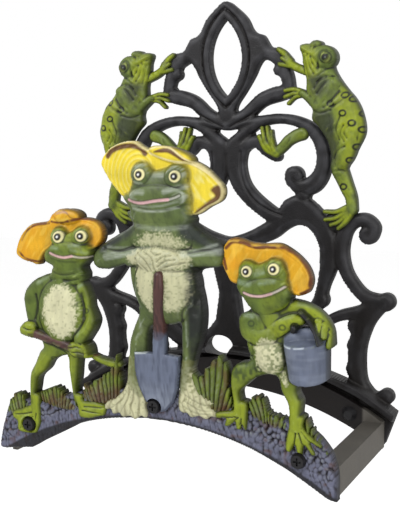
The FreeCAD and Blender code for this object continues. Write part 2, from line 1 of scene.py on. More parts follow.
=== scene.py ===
# %% [markdown]
# # A garden hose hanger with painted frogs
# The real object is made of iron castings that are bolted together: a black openwork plate against
# the wall, an open saddle that carries the hose, and a front plate with three frogs in straw hats,
# painted by hand. A casting in a two-part mould has no undercuts, so each one can be drawn as a
# relief: one height for every point of a grid. That is what most of this lesson does, with numpy.

# %% Load the CAD frame
import math

import bpy
import numpy as np
from mathutils import Matrix, geometry


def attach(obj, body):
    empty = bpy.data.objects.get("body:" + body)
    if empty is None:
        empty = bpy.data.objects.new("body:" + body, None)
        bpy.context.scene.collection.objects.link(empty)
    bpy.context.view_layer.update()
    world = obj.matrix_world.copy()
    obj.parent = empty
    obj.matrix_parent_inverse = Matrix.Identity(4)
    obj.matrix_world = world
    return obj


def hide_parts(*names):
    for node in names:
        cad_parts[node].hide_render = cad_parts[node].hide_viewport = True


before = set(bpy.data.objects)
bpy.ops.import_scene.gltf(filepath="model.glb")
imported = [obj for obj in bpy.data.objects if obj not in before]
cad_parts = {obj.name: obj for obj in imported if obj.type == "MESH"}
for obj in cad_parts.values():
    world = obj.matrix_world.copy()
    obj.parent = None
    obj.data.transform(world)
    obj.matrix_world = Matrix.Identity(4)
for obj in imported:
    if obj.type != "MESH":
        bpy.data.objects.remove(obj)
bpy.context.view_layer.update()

# %% [markdown]
# ## Units and the photographer's place
# Everything is drawn in millimetres, with heights from the lowest corner of the front plate. The
# frame's origin lies between the wall screws, WALL_SCREWS above that corner. Places on the front
# figures were read on one upright plane through the front plate. A point that stands nearer to the
# camera than that plane really lies on the line of sight, so it is moved along that line.

# %% Units and lines of sight
WALL_SCREWS = 95.0
EYE = np.array([318.2, -718.8, 234.4])
FRONT_BACK = -128.0
PLATE_BACK = -6.0
READ_FRONT = -138.0
READ_CLIMBER = -14.0


def along_sight(rows, heights, back, read):
    """Move x and z of each row from the reading plane to the plane at that height above the back:
    the share of the way to the eye is the distance between the planes over that to the eye."""
    rows = np.array(rows, float)
    share = (back - np.asarray(heights, float) - read) / (EYE[1] - read)
    rows[..., 0] += (EYE[0] - rows[..., 0]) * share
    rows[..., 1] += (EYE[2] - rows[..., 1]) * share
    return rows


def metres(x, y, z):
    """Points of the frame from millimetres of the drawing."""
    return np.stack([x, y, z - WALL_SCREWS], -1) / 1000


print("eye in the frame:", metres(*EYE))

# %% [markdown]
# ## Curves, blurs and mottling
# Three small tools for all castings. A Catmull-Rom curve goes through every given point, which
# suits outlines read one by one. Running means give a blur, which finds crevices and ridges. Value
# noise, mixed from random numbers on a lattice, gives uneven paint. The HASH numbers only scramble
# a lattice place into a random number.

# %% Shared numpy tools
HASH_X, HASH_Z, HASH_SEED, HASH_BLADE, HASH_SCALE = 127.1, 311.7, 74.7, 12.9898, 43758.5453


def smooth_line(points, closed=False, pieces=6):
    """Catmull-Rom curve through rows of numbers: cubic stretches whose slope at a point is half the
    way between its neighbours."""
    p = np.asarray(points, float)
    if closed:
        before, start, end, after = (np.roll(p, shift, 0) for shift in (1, 0, -1, -2))
    else:
        longer = np.vstack([2 * p[:1] - p[1:2], p, 2 * p[-1:] - p[-2:-1]])
        before, start, end, after = longer[:-3], longer[1:-2], longer[2:-1], longer[3:]
    t = (np.arange(pieces) / pieces)[:, None, None]
    cubic = 3 * (start - end) + after - before
    square = 2 * before - 5 * start + 4 * end - after
    curve = start + 0.5 * t * (end - before + t * (square + t * cubic))
    rows = curve.transpose(1, 0, 2).reshape(-1, p.shape[1])
    return rows if closed else np.vstack([rows, p[-1:]])


def soften(field, cells):
    """Three running means along each axis, close to a Gaussian blur."""
    width = 2 * cells + 1
    for axis in (0, 1, 0, 1, 0, 1):
        margins = [(cells + 1, cells) if a == axis else (0, 0) for a in (0, 1)]
        total = np.cumsum(np.pad(field, margins, mode="edge"), axis)
        ends = np.split(total, [width], axis)[1]
        starts = np.split(total, [total.shape[axis] - width], axis)[0]
        field = (ends - starts) / width
    return field


def mottle(x, z, size, seed=0):
    """Value noise from 0 to 1: random numbers on a lattice of that size, mixed smoothly."""
    u, v = x / size, z / size
    i, j = np.floor(u), np.floor(v)
    s, t = u - i, v - j
    s, t = s * s * (3 - 2 * s), t * t * (3 - 2 * t)

    def corner(a, b):
        value = np.sin(a * HASH_X + b * HASH_Z + seed * HASH_SEED) * HASH_SCALE
        return value - np.floor(value)

    low = corner(i, j) * (1 - s) + corner(i + 1, j) * s
    high = corner(i, j + 1) * (1 - s) + corner(i + 1, j + 1) * s
    return low * (1 - t) + high * t


def inside(distance, width=0.7):
    """Mask from a signed distance: 1 inside, 0 outside, with an edge of that width."""
    return np.clip(0.5 - distance / width, 0, 1)


def srgb(red, green, blue):
    """Linear colour from 8-bit screen values."""
    value = np.array([red, green, blue]) / 255
    return np.where(value <= 0.04045, value / 12.92, ((value + 0.055) / 1.055) ** 2.4)


print("test of the curve:", len(smooth_line([(0, 0), (1, 1), (2, 0)])), "points")

# %% [markdown]
# ## A relief on a grid
# The mould maker presses forms into sand, and the later form covers the earlier one. The class does
# the same with arrays: each form is a signed distance (negative inside), from which a rounded
# height follows, and a smooth maximum joins it to what is there, with a soft crease between. Paint
# goes on with the form that covers it.

# %% Relief
DRAFT = 3.0
FAR = 99.0
MARGIN = 10.0


class Relief:
    """One casting on a grid, in mm: height above its back, distance to its outline, paint and skin."""

    def __init__(self, x_from, x_to, z_from, z_to, step, back=FRONT_BACK, read=READ_FRONT):
        self.step, self.back, self.read = step, back, read
        self.x, self.z = np.meshgrid(
            np.arange(x_from, x_to + step, step), np.arange(z_from, z_to + step, step), indexing="ij"
        )
        self.high = np.zeros_like(self.x)
        self.edge = np.full_like(self.x, FAR)
        self.paint = np.zeros(self.x.shape + (3,))
        self.skin = np.zeros_like(self.x)

    def oval(self, x, z, half_x, half_z, tilt=0.0):
        """Distance to an ellipse: k0 (k0 - 1) / k1, with k0 and k1 the lengths of the place divided
        once and twice by the half axes."""
        turn = math.radians(tilt)
        u = (self.x - x) * math.cos(turn) + (self.z - z) * math.sin(turn)
        v = (self.z - z) * math.cos(turn) - (self.x - x) * math.sin(turn)
        once = np.hypot(u / half_x, v / half_z)
        twice = np.hypot(u / half_x**2, v / half_z**2)
        return once * (once - 1) / np.maximum(twice, 1e-6)

    def window(self, rows, reach):
        """Slice of the grid round some rows of x and z, so that far points cost nothing."""
        low, high = rows[:, :2].min(0) - reach, rows[:, :2].max(0) + reach
        spans = []
        for axis, grid in ((0, self.x[:, 0]), (1, self.z[0])):
            spans.append(slice(*np.searchsorted(grid, (low[axis], high[axis]))))
        return tuple(spans)

    def ribbon(self, rows):
        """Distance to a band along a line of rows (x, z, half width, height), and the height there:
        the distance to each straight stretch less its half width, of which the least counts."""
        rows = np.asarray(rows, float)
        part = self.window(rows, rows[:, 2].max() + MARGIN)
        x, z = self.x[part], self.z[part]
        best, level = np.full_like(x, FAR), np.zeros_like(x)
        for start, end in zip(rows, rows[1:]):
            way = end - start
            t = ((x - start[0]) * way[0] + (z - start[1]) * way[1]) / (way[0] ** 2 + way[1] ** 2 + 1e-9)
            t = np.clip(t, 0, 1)
            gap = np.hypot(x - start[0] - t * way[0], z - start[1] - t * way[1]) - start[2] - t * way[2]
            level = np.where(gap < best, start[3] + t * way[3], level)
            best = np.minimum(best, gap)
        distance, height = np.full_like(self.x, FAR), np.zeros_like(self.x)
        distance[part], height[part] = best, level
        return distance, height

    def patch(self, outline, rounded=True):
        """Distance to a closed outline: the least distance to its stretches, negative where a ray
        to the right crosses the outline an odd number of times."""
        rows = smooth_line(outline, closed=True) if rounded else np.asarray(outline, float)
        part = self.window(rows, MARGIN)
        x, z = self.x[part], self.z[part]
        best, odd = np.full_like(x, FAR), np.zeros(x.shape, bool)
        for start, end in zip(rows, np.roll(rows, -1, 0)):
            way = end - start
            t = ((x - start[0]) * way[0] + (z - start[1]) * way[1]) / (way @ way + 1e-9)
            t = np.clip(t, 0, 1)
            best = np.minimum(best, np.hypot(x - start[0] - t * way[0], z - start[1] - t * way[1]))
            crosses = (start[1] > z) != (end[1] > z)
            odd ^= crosses & (x < way[0] * (z - start[1]) / (way[1] + 1e-12) + start[0])
        distance = np.full_like(self.x, FAR)
        distance[part] = np.where(odd, -best, best)
        return distance

    def press(self, distance, rim, rise, reach, colour, soft=1.2, skin=1.0, draft=DRAFT):
        """Add a form: rim high at its outline, then a quarter ellipse of that rise and reach inwards,
        and a steep draft outside. The smooth maximum mixes it with what is there. Skin is 1 for the
        forms that later coats of green may cover."""
        inward = np.clip(-distance / reach, 0, 1)
        form = rim + rise * np.sqrt(1 - (1 - inward) ** 2) - draft * np.maximum(distance, 0)
        share = np.clip(0.5 + 0.5 * (form - self.high) / soft, 0, 1)
        self.high += (form - self.high) * share + soft * share * (1 - share)
        self.edge = np.minimum(self.edge, distance)
        self.tint(share, colour)
        self.skin += share * (skin - self.skin)

    def limb(self, rows, colour, rise, soft, skin, draft, within):
        """Round limb along rows of x, z, radius and height of its sides, kept within an outline."""
        rows = smooth_line(rows)
        distance, height = self.ribbon(rows)
        distance = np.maximum(distance, within)
        radius = rows[:, 2].mean()
        self.press(distance, height, rise * radius, radius, colour, soft, skin, draft)
        return distance

    def groove(self, distance, depth, half):
        """Engraved line, lowered by a bell curve of the distance to it."""
        self.high -= depth * np.exp(-((distance / half) ** 2))

    def tint(self, mask, colour):
        """Brush colour over a mask."""
        self.paint += np.asarray(mask)[..., None] * (np.asarray(colour) - self.paint)

    def sink(self, x, z, radius, floor):
        """Flat round seat for a screw head."""
        distance = self.oval(x, z, radius, radius)
        self.high = np.minimum(self.high, floor + DRAFT * np.maximum(distance, 0))

    def hollow(self, reach):
        """How deep each point lies below the blurred surface: above 0 in crevices, below on ridges."""
        solid = np.where(self.edge < 0, self.high, self.high.clip(0))
        return soften(solid, max(1, round(reach / self.step))) - solid


print("relief forms are ready")

# %% [markdown]
# ## From relief to mesh
# Grid cells inside the outline become the front. Corner points on the stepped border are pulled
# onto the outline along its gradient, so the silhouette is smooth. Walls run from there to a flat
# back, which a constrained triangulation closes with few faces.

# %% Casting a relief
SHARP_ANGLE = math.radians(55)
MOST_PULL = 0.8
LEAST_HEIGHT = 0.5
BACK_SLACK = 0.3


def border(kept):
    """Directed border edges of the kept cells, as grid places of their two ends."""
    cells = np.pad(kept, 1)
    sides = []
    for axis, outer, flip in ((0, 1, False), (0, -1, True), (1, 1, True), (1, -1, False)):
        beyond = np.roll(cells, -outer, axis)
        i, j = np.nonzero(cells & ~beyond)
        i, j = i - 1, j - 1
        step_i, step_j = (0, 1) if axis == 0 else (1, 0)
        if outer == 1:
            i, j = (i + 1, j) if axis == 0 else (i, j + 1)
        ends = [(i, j), (i + step_i, j + step_j)]
        sides.append(ends[::-1] if flip else ends)
    return [tuple(np.concatenate([side[end][k] for side in sides]) for k in (0, 1)) for end in (0, 1)]


def mesh_object(name, points, quads, triangles, paint, material):
    """Object from arrays of points, faces and one colour per point."""
    mesh = bpy.data.meshes.new(name)
    corners = np.concatenate([quads.ravel(), triangles.ravel()]).astype(np.int32)
    starts = np.concatenate([4 * np.arange(len(quads)), 4 * len(quads) + 3 * np.arange(len(triangles))])
    mesh.vertices.add(len(points))
    mesh.vertices.foreach_set("co", points.astype(np.float32).ravel())
    mesh.loops.add(len(corners))
    mesh.loops.foreach_set("vertex_index", corners)
    mesh.polygons.add(len(starts))
    mesh.polygons.foreach_set("loop_start", starts.astype(np.int32))
    mesh.update(calc_edges=True)
    mesh.validate()
    colours = np.column_stack([paint, np.ones(len(paint))]).astype(np.float32)
    mesh.attributes.new("paint", "FLOAT_COLOR", "POINT").data.foreach_set("color", colours.ravel())
    mesh.polygons.foreach_set("use_smooth", np.ones(len(mesh.polygons), bool))
    mesh.set_sharp_from_angle(angle=SHARP_ANGLE)
    mesh.materials.append(material)
    piece = bpy.data.objects.new(name, mesh)
    bpy.context.scene.collection.objects.link(piece)
    return piece


def cast(name, relief, back, material, node, back_paint):
    """Closed mesh of a relief: y = back - height in front, walls along the outline, flat behind."""
    e, step = relief.edge, relief.step
    kept = (e[:-1, :-1] + e[1:, :-1] + e[:-1, 1:] + e[1:, 1:]) < 0
    padded = np.pad(kept, 1).astype(int)
    count = padded[:-1, :-1] + padded[1:, :-1] + padded[:-1, 1:] + padded[1:, 1:]
    rim = (count > 0) & (count < 4)
    slope_x, slope_z = np.gradient(e, step)
    pull = np.clip(e, -MOST_PULL * step, MOST_PULL * step)
    pull = pull / np.maximum(np.hypot(slope_x, slope_z), 0.5) * rim
    x, z = relief.x - slope_x * pull, relief.z - slope_z * pull
    number = np.full(e.shape, -1)
    number[count > 0] = np.arange((count > 0).sum())
    behind = np.full(e.shape, -1)
    behind[rim] = number.max() + 1 + np.arange(rim.sum())
    front = metres(x[count > 0], back - relief.high.clip(LEAST_HEIGHT)[count > 0], z[count > 0])
    i, j = np.nonzero(kept)
    faces = np.column_stack([number[i, j], number[i + 1, j], number[i + 1, j + 1], number[i, j + 1]])
    (ai, aj), (bi, bj) = border(kept)
    walls = np.column_stack([number[ai, aj], behind[ai, aj], behind[bi, bj], number[bi, bj]])
    first = number.max() + 1
    flat = np.column_stack([x[rim], z[rim]])
    edges = np.column_stack([behind[ai, aj], behind[bi, bj]]) - first
    spots, _, tris, sources, *_ = geometry.delaunay_2d_cdt(flat.tolist(), edges.tolist(), [], 1, 1e-7)
    flat, tris = np.array(spots), np.array(tris)
    moved = np.arange(rim.sum())
    merged = [old for group in sources for old in group]
    moved[merged] = np.repeat(np.arange(len(sources)), [len(group) for group in sources])
    rear = metres(flat[:, 0], np.full(len(flat), back), flat[:, 1])
    walls[:, 1:3] = moved[walls[:, 1:3] - first] + first
    middle = flat[tris].mean(1)
    row = np.rint((middle[:, 0] - relief.x[0, 0]) / step).astype(int)
    column = np.rint((middle[:, 1] - relief.z[0, 0]) / step).astype(int)
    tris = tris[e[row, column] < BACK_SLACK * step][:, ::-1] + first
    points = np.vstack([front, rear])
    paint = np.vstack([relief.paint[count > 0], np.tile(back_paint, (len(rear), 1))])
    piece = mesh_object(name, points, np.vstack([faces, walls]), tris, paint, material)
    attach(piece, "root")
    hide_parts(node)
    print(name, len(points), "points,", 2 * len(faces) + 2 * len(walls) + len(tris), "triangles")


# %% [markdown]
# ## Node groups for paint and iron
# Every finish here is brush paint on a sand casting, so two effects are shared. One gives the grain
# of the sand and the brush, as a height for a Bump node. The other breaks an even colour up into
# thin and thick paint, with Object coordinates, so that the pattern stays on the piece.

# %% Shared node groups
def node_group(name, inputs, outputs):
    """Empty shader group with named sockets: name, kind and first value."""
    group = bpy.data.node_groups.new(name, "ShaderNodeTree")
    for label, kind, value in inputs:
        socket = group.interface.new_socket(label, in_out="INPUT", socket_type=kind)
        socket.default_value = value
    for label, kind in outputs:
        group.interface.new_socket(label, in_out="OUTPUT", socket_type=kind)
    return group, group.nodes.new("NodeGroupInput"), group.nodes.new("NodeGroupOutput")


def add(tree, kind, links=(), **settings):
    """New node with settings by attribute, and links given as (input, output socket or value)."""
    node = tree.nodes.new(kind)
    for label, value in settings.items():
        setattr(node, label, value)
    for socket, source in links:
        if isinstance(source, bpy.types.NodeSocket):
            tree.links.new(source, node.inputs[socket])
        else:
            node.inputs[socket].default_value = source
    return node


def grain_group():
    """Height of a cast and painted skin: fine sand grain and broader lumps."""
    group, given, made = node_group(
        "cast_grain", [("Fine", "NodeSocketFloat", 900.0), ("Broad", "NodeSocketFloat", 160.0)],
        [("Height", "NodeSocketFloat")],
    )
    place = add(group, "ShaderNodeTexCoord").outputs["Object"]
    fine = add(group, "ShaderNodeTexNoise",
               [("Vector", place), ("Scale", given.outputs["Fine"]), ("Detail", 3.0)])
    broad = add(group, "ShaderNodeTexNoise",
                [("Vector", place), ("Scale", given.outputs["Broad"]), ("Detail", 2.0)])
    both = add(group, "ShaderNodeMath", [(0, fine.outputs["Fac"]), (1, broad.outputs["Fac"])],
               operation="ADD")
    group.links.new(both.outputs[0], made.inputs["Height"])
    return group


def brush_group():
    """Uneven paint: the colour darkened and lightened by stretched noise and by broad patches."""
    group, given, made = node_group(
        "brush_marks",
        [("Color", "NodeSocketColor", (0.5, 0.5, 0.5, 1)), ("Amount", "NodeSocketFloat", 0.5),
         ("Scale", "NodeSocketFloat", 300.0)],
        [("Color", "NodeSocketColor"), ("Mask", "NodeSocketFloat")],
    )
    place = add(group, "ShaderNodeTexCoord").outputs["Object"]
    stretch = add(group, "ShaderNodeMapping",
                  [("Vector", place), ("Rotation", (0.0, 0.6, 0.0)), ("Scale", (1.0, 1.0, 0.3))])
    strokes = add(group, "ShaderNodeTexNoise",
                  [("Vector", stretch.outputs[0]), ("Scale", given.outputs["Scale"]), ("Detail", 4.0)])
    patches = add(group, "ShaderNodeTexNoise", [("Vector", place), ("Scale", 70.0), ("Detail", 2.0)])
    both = add(group, "ShaderNodeMath", [(0, strokes.outputs["Fac"]), (1, patches.outputs["Fac"])],
               operation="ADD")
    centred = add(group, "ShaderNodeMath", [(0, both.outputs[0]), (1, 1.0)], operation="SUBTRACT")
    gain = add(group, "ShaderNodeMath", [(0, centred.outputs[0]), (1, given.outputs["Amount"]), (2, 1.0)],
               operation="MULTIPLY_ADD")
    mixed = add(group, "ShaderNodeVectorMath", [(0, given.outputs["Color"])], operation="SCALE")
    group.links.new(gain.outputs[0], mixed.inputs["Scale"])
    group.links.new(mixed.outputs[0], made.inputs["Color"])
    group.links.new(both.outputs[0], made.inputs["Mask"])
    return group


GRAIN, BRUSH = grain_group(), brush_group()
print("groups:", GRAIN.name, BRUSH.name)

# %% [markdown]
# ## Finishes
# Painted relief: its colour comes from the paint attribute of the mesh, which the casting steps
# below work out, and the brush group makes it uneven. Plain iron parts have one colour, so they get
# theirs from the group alone, and the saddle is dark along its bars and paler at its two ends, where
# the pale tone is a painted sheen of light on the same dark paint. All of it is satin: a soft sheen,
# no mirror.

# %% Materials
def finish(name, colour, rough, specular, brush, grain, fine=900.0, metallic=0.0):
    """Painted or bare iron. A colour of None takes the paint attribute."""
    material = bpy.data.materials.new(name)
    material.use_nodes = True
    tree = material.node_tree
    shader = tree.nodes["Principled BSDF"]
    marks = add(tree, "ShaderNodeGroup", node_tree=BRUSH)
    marks.inputs["Amount"].default_value = brush
    if colour is None:
        paint = add(tree, "ShaderNodeAttribute", attribute_name="paint")
        tree.links.new(paint.outputs["Color"], marks.inputs["Color"])
    else:
        marks.inputs["Color"].default_value = (*colour, 1)
    tree.links.new(marks.outputs["Color"], shader.inputs["Base Color"])
    gloss = add(tree, "ShaderNodeMapRange",
                [("Value", marks.outputs["Mask"]), ("From Min", 0.6), ("From Max", 1.4),
                 ("To Min", rough - 0.08), ("To Max", rough + 0.1)])
    tree.links.new(gloss.outputs["Result"], shader.inputs["Roughness"])
    skin = add(tree, "ShaderNodeGroup", node_tree=GRAIN)
    skin.inputs["Fine"].default_value = fine
    bump = add(tree, "ShaderNodeBump",
               [("Height", skin.outputs["Height"]), ("Distance", 0.0004), ("Strength", grain)])
    tree.links.new(bump.outputs["Normal"], shader.inputs["Normal"])
    shader.inputs["Specular IOR Level"].default_value = specular
    shader.inputs["Metallic"].default_value = metallic
    return material


SADDLE_BARS_END, SADDLE_ENDS_START = 0.1145, 0.1165
frog_paint = finish("frog_paint", None, 0.42, 0.35, 0.5, 0.35)
iron_paint = finish("iron_paint", None, 0.45, 0.3, 0.5, 0.5)
saddle_paint = finish("saddle_paint", srgb(103, 99, 92), 0.55, 0.3, 0.4, 0.4)
black_steel = finish("black_steel", srgb(26, 25, 27), 0.4, 0.4, 0.4, 0.2)
tree = saddle_paint.node_tree
place = add(tree, "ShaderNodeSeparateXYZ", [("Vector", add(tree, "ShaderNodeTexCoord").outputs["Object"])])
away = add(tree, "ShaderNodeMath", [(0, place.outputs["X"])], operation="ABSOLUTE")
ends = add(tree, "ShaderNodeMapRange", [("Value", away.outputs["Value"]), ("From Min", SADDLE_BARS_END),
                                        ("From Max", SADDLE_ENDS_START)])
# The saddle's ends get a paler tone than its bars: a painted sheen of light on the same dark paint.
tone = add(tree, "ShaderNodeMix", [("Factor", ends.outputs["Result"])], data_type="RGBA")
tone.inputs["A"].default_value = (*srgb(28, 24, 23), 1)
tone.inputs["B"].default_value = (*srgb(108, 104, 97), 1)
marks = next(node for node in tree.nodes if node.type == "GROUP" and node.node_tree == BRUSH)
tree.links.new(tone.outputs["Result"], marks.inputs["Color"])
for node, material in (("saddle_frame", saddle_paint), ("front_screws", black_steel),
                       ("front_nuts", black_steel), ("rear_bolts", black_steel)):
    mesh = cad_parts[node].data
    mesh.materials.clear()
    mesh.materials.append(material)
print("materials:", [m.name for m in bpy.data.materials])

# %% [markdown]
# ## The openwork back plate
# Scrolls cast in sand are bands of changing width with a rounded section. Each band is a curve with
# half widths. Only the right half is drawn; the other half is its mirror image. The forms are joined
# with a smooth minimum, which leaves the fillets that molten iron leaves in every corner.

# %% Scrolls of the back plate
BANDS = {
    "side of the fleur": ((37, 302, 4.5), (46, 296, 5), (51, 284, 5), (53, 274, 4.5)),
    "leaf arm": ((4, 250, 5), (17, 256, 5), (30, 266.5, 5.5), (44, 271, 6), (53, 272, 4.5)),
    "tie": ((0, 248, 4), (15, 249, 4.5), (30, 250, 3.5)),
    "upper scroll": (
        (4, 228, 6), (13, 239, 5), (26, 248.5, 4.3), (43, 251.7, 4), (60, 249, 4.2),
        (74, 240.5, 5.2), (81, 226, 5.8), (80, 211, 6.2), (73, 200.8, 7), (63, 198, 6.4), (55, 203.5, 5),
    ),
    "foot leaf": ((8, 220, 6), (15, 231, 5), (26, 234, 5), (34, 228, 5.5), (42, 222.5, 4.5)),
    "middle bar": (
        (7, 230, 8), (8, 210, 8), (15, 195, 7), (30, 181.5, 6.5), (46, 173, 6.5), (62, 178, 9),
    ),
    "lower scroll": (
        (46, 170, 6), (59, 180.6, 11), (76, 171.6, 8.6), (84.5, 155, 7.5), (85, 138, 7),
        (81, 122, 5), (78, 110, 5),
    ),
    "cross arm": ((48, 171, 6.5), (37, 163.5, 7.6), (20, 156, 6.4), (0, 150, 6)),
    "lower arm": (
        (79, 108, 5), (70, 100, 5), (60, 86, 7), (50, 75, 7.6), (38, 68.5, 7.4), (24, 70.5, 6), (12, 74, 6),
    ),
    "outer scroll": (
        (116.5, 161.5, 6.2), (120.5, 167.5, 5.6), (114.5, 173.4, 5.2), (105.5, 172, 5.4), (98.5, 164.5, 5.8),
        (95, 150, 6.2), (98, 136, 5.2), (104, 125, 4.8), (114, 114.5, 5), (128, 110, 6),
    ),
    "corner arm": ((122, 106, 6), (108, 101.5, 5), (94, 98, 4.2), (82, 91, 4.2), (71, 79, 4.5), (64, 62, 5)),
    "pillar": ((122, 107, 8), (114, 95, 8), (109, 77, 7), (108, 60, 7), (110, 46, 7), (116, 34, 8)),
    "foot curl": ((112, 40, 6), (122, 35.4, 4.5), (131.6, 36.6, 5.4)),
}
CURLS = (
    (57, 207, 7.7), (117, 162.5, 7.4), (91, 172, 8.0), (131, 111, 7.0), (131.6, 37.6, 5.8), (80, 110, 5.3),
    (107, 91, 6.3), (106.5, 75.5, 6.0), (106.5, 57, 6.7), (64.5, 191.5, 5.6), (45, 289.5, 4.8),
)
FLEUR = ((0, 345), (9.4, 339), (17.5, 331), (22, 322.5), (25.5, 319), (31.6, 316.7), (35.6, 310.6),
         (38.4, 306.8), (43.7, 306.2), (50, 302), (46, 297), (36, 299.5), (31, 297.5), (27.5, 293),
         (23.5, 285), (16, 273.5), (9.5, 264.5), (7.5, 259), (6, 250))
BALUSTER = ((0, 155), (21, 155), (14, 134), (8.5, 111), (12, 88), (23, 74), (25, 56), (0, 56))
ARCH_RADIUS = 240.0
VESICA_SHIFT, VESICA_HEIGHT, VESICA_RADIUS = 27.0, 300.5, 41.0
WALL_SCREW_X, WALL_BOSS, WALL_HOLE = 40.0, 9.5, 2.75


def arch(crown, x):
    """Height of an arched edge: a circle of the common radius through the crown."""
    return crown - ARCH_RADIUS + np.sqrt(ARCH_RADIUS**2 - x**2)


def join(a, b, fillet=3.0):
    """Smooth minimum of two distances, which rounds the inner corner between two forms."""
    share = np.clip(0.5 + 0.5 * (b - a) / fillet, 0, 1)
    return b + (a - b) * share - fillet * share * (1 - share)


plate = Relief(-30.1, 142, 0, 346, 0.7)
lace = np.full_like(plate.x, FAR)
for rows in BANDS.values():
    course = smooth_line([(x, z, half, 0) for x, z, half in rows], pieces=5)
    lace = join(lace, plate.ribbon(course)[0])
for x, z, radius in CURLS:
    lace = join(lace, plate.oval(x, z, radius, radius), 2.0)
seam = 2 * int(np.argmin(np.abs(plate.x[:, 0]))) + 1
near = lace[:seam]
lace[:seam] = join(near, near[::-1])
vesica = np.hypot(np.abs(plate.x) + VESICA_SHIFT, plate.z - VESICA_HEIGHT) - VESICA_RADIUS
fleur = plate.patch(FLEUR + tuple((-x, z) for x, z in FLEUR[:0:-1]))
lace = join(lace, np.maximum(fleur, -vesica))
baluster = plate.patch(BALUSTER + tuple((-x, z) for x, z in BALUSTER[-2:0:-1]), rounded=False)
lace = join(lace, baluster)
lace = np.minimum(lace, plate.oval(WALL_SCREW_X, WALL_SCREWS, WALL_BOSS, WALL_BOSS))
print("scrolls cover", round(2 * float((lace < 0).sum()) * plate.step**2 / 100), "cm2")

# %% [markdown]
# The skirt and the ledge over the saddle's rear bar are arched strips, drawn from circles of one
# radius. Both dip a little in the middle and slant at their ends. One oval hole goes through them
# left of the middle, so it is cut after the mirroring. The charcoal paint gets darker and browner
# towards the bottom. The crevices are darkened further, as painted shade, and the ridges get pale
# patches of painted sheen, fewer low down.

# %% Ledge, skirt and paint of the back plate
# The last of these colours is the pale of the painted sheen on the ridges.
CHARCOAL, BROWN_BLACK, RIDGE_SHEEN = srgb(34, 33, 35), srgb(20, 16, 14), srgb(80, 80, 84)
PLATE_HALF, MIDDLE_DIP = 140, 5.0
BOLT_X, BOLT_CROWN, BOLT_HOLE = 105, 47.5, 3.3
MIDDLE_HOLE = (-7, 67.5, 11.5, 8.4)
plate.press(lace, 5.5, 4.2, 4.6, CHARCOAL)
plate.press(np.abs(vesica - 2.6) - 2.4, 8.0, 2.0, 2.4, CHARCOAL, 0.8)
plate.groove(vesica - 6.4, 2.0, 1.1)
SCROLL_LINES = (
    ((13, 226), (12.5, 212), (16, 199), (24, 188), (36, 180), (47, 176)),
    ((3, 246), (16, 252), (30, 261), (42, 266)),
)
for points in SCROLL_LINES:
    rows = smooth_line([(x, z, 0, 0) for x, z in points])
    plate.groove(plate.ribbon(rows)[0], 1.4, 1.0)
at_x = plate.x.clip(0, ARCH_RADIUS - 1)
dip = MIDDLE_DIP * np.clip(1.25 - 1.25 * (at_x / 112) ** 2, 0, 1)
across = plate.x - PLATE_HALF + 0.36 * np.clip(25 - plate.z, 0, 40)
skirt = np.maximum.reduce([arch(37, at_x) - plate.z, plate.z - arch(69.6, at_x) + dip, across])
plate.press(skirt, 7.0, 1.0, 2.0, CHARCOAL)
ledge = np.maximum.reduce([arch(64.6, at_x) - 0.5 * dip - plate.z, plate.z - arch(71, at_x) + dip, across])
plate.press(ledge, 15.5, 1.5, 2.0, CHARCOAL)
for x, z in ((BOLT_X, arch(BOLT_CROWN, BOLT_X)), (0, BOLT_CROWN)):
    plate.edge = np.maximum(plate.edge, -plate.oval(x, z, BOLT_HOLE, BOLT_HOLE))
plate.edge = np.maximum(plate.edge, -plate.oval(WALL_SCREW_X, WALL_SCREWS, WALL_HOLE, WALL_HOLE))


def mirrored(relief):
    """Relief with its left half added as the mirror image of its right half."""
    whole = Relief(0, 1, 0, 1, relief.step)
    keep = int(np.argmin(np.abs(relief.x[:, 0])))
    for label in ("x", "z", "high", "edge", "paint"):
        right = getattr(relief, label)[keep:]
        left = right[:0:-1]
        setattr(whole, label, np.concatenate([-left if label == "x" else left, right]))
    return whole


plate = mirrored(plate)
plate.edge = np.maximum(plate.edge, -plate.oval(*MIDDLE_HOLE))
crevice = plate.hollow(2.5)
low = np.clip((225 - plate.z) / 120, 0, 1)
uneven = 0.35 + 0.65 * mottle(plate.x, plate.z, 14, 3)
plate.tint(np.clip(0.2 + 0.75 * low, 0, 1) * uneven, BROWN_BLACK)
# Painted shade: the crevices darkened towards brown-black.
plate.tint(np.clip(crevice / 1.2, 0, 0.9), BROWN_BLACK)
# Painted sheen: pale patches on the ridges, fewer low down.
plate.tint(np.clip(-crevice / 1.0 - 0.3, 0, 0.55) * mottle(plate.x, plate.z, 5, 4) * (1 - 0.6 * low), RIDGE_SHEEN)
cast("scroll_plate", plate, 0.0, iron_paint, "back_plate", BROWN_BLACK)

# %% [markdown]
# ## Forms and paint of the figures
# Each frog is one low casting: the pattern maker cut its outline, rounded the edges, raised chest,
# arms and thighs a little, and engraved lines for mouth, folds, fingers and toes. The code follows
# that order. Outlines were read on one plane for each plate, and every form says how high it stands,
# which moves it along the line of sight. Screws hold the plate at three places along its arch.

# %% Helpers for the figures
SCREW_X, SCREW_CROWN, SEAT_LEVEL = 107.5, 49.5, 9.0
MOUTH_LEVEL = 17
EYE_COATS = (
    (1.16, 0, (44, 56, 30)), (1.0, 0, (238, 230, 172)), (0.64, 0.08, (10, 8, 7)),
    (0.2, 0.14, (250, 250, 246)),
)


def spot(relief, x, z, height):
    """Place of a reading whose form stands that high."""
    return along_sight((x, z), height, relief.back, relief.read)


def lifted(relief, rows):
    """Rows of x, z, radius and height, with x and z moved along the line of sight."""
    rows = np.array(rows, float)
    rows[:, :2] = along_sight(rows[:, :2], rows[:, 3], relief.back, relief.read)
    return rows


def area(relief, outline, height):
    """Distance to a painted outline of readings on a form that stands that high."""
    return relief.patch(along_sight(outline, height, relief.back, relief.read))


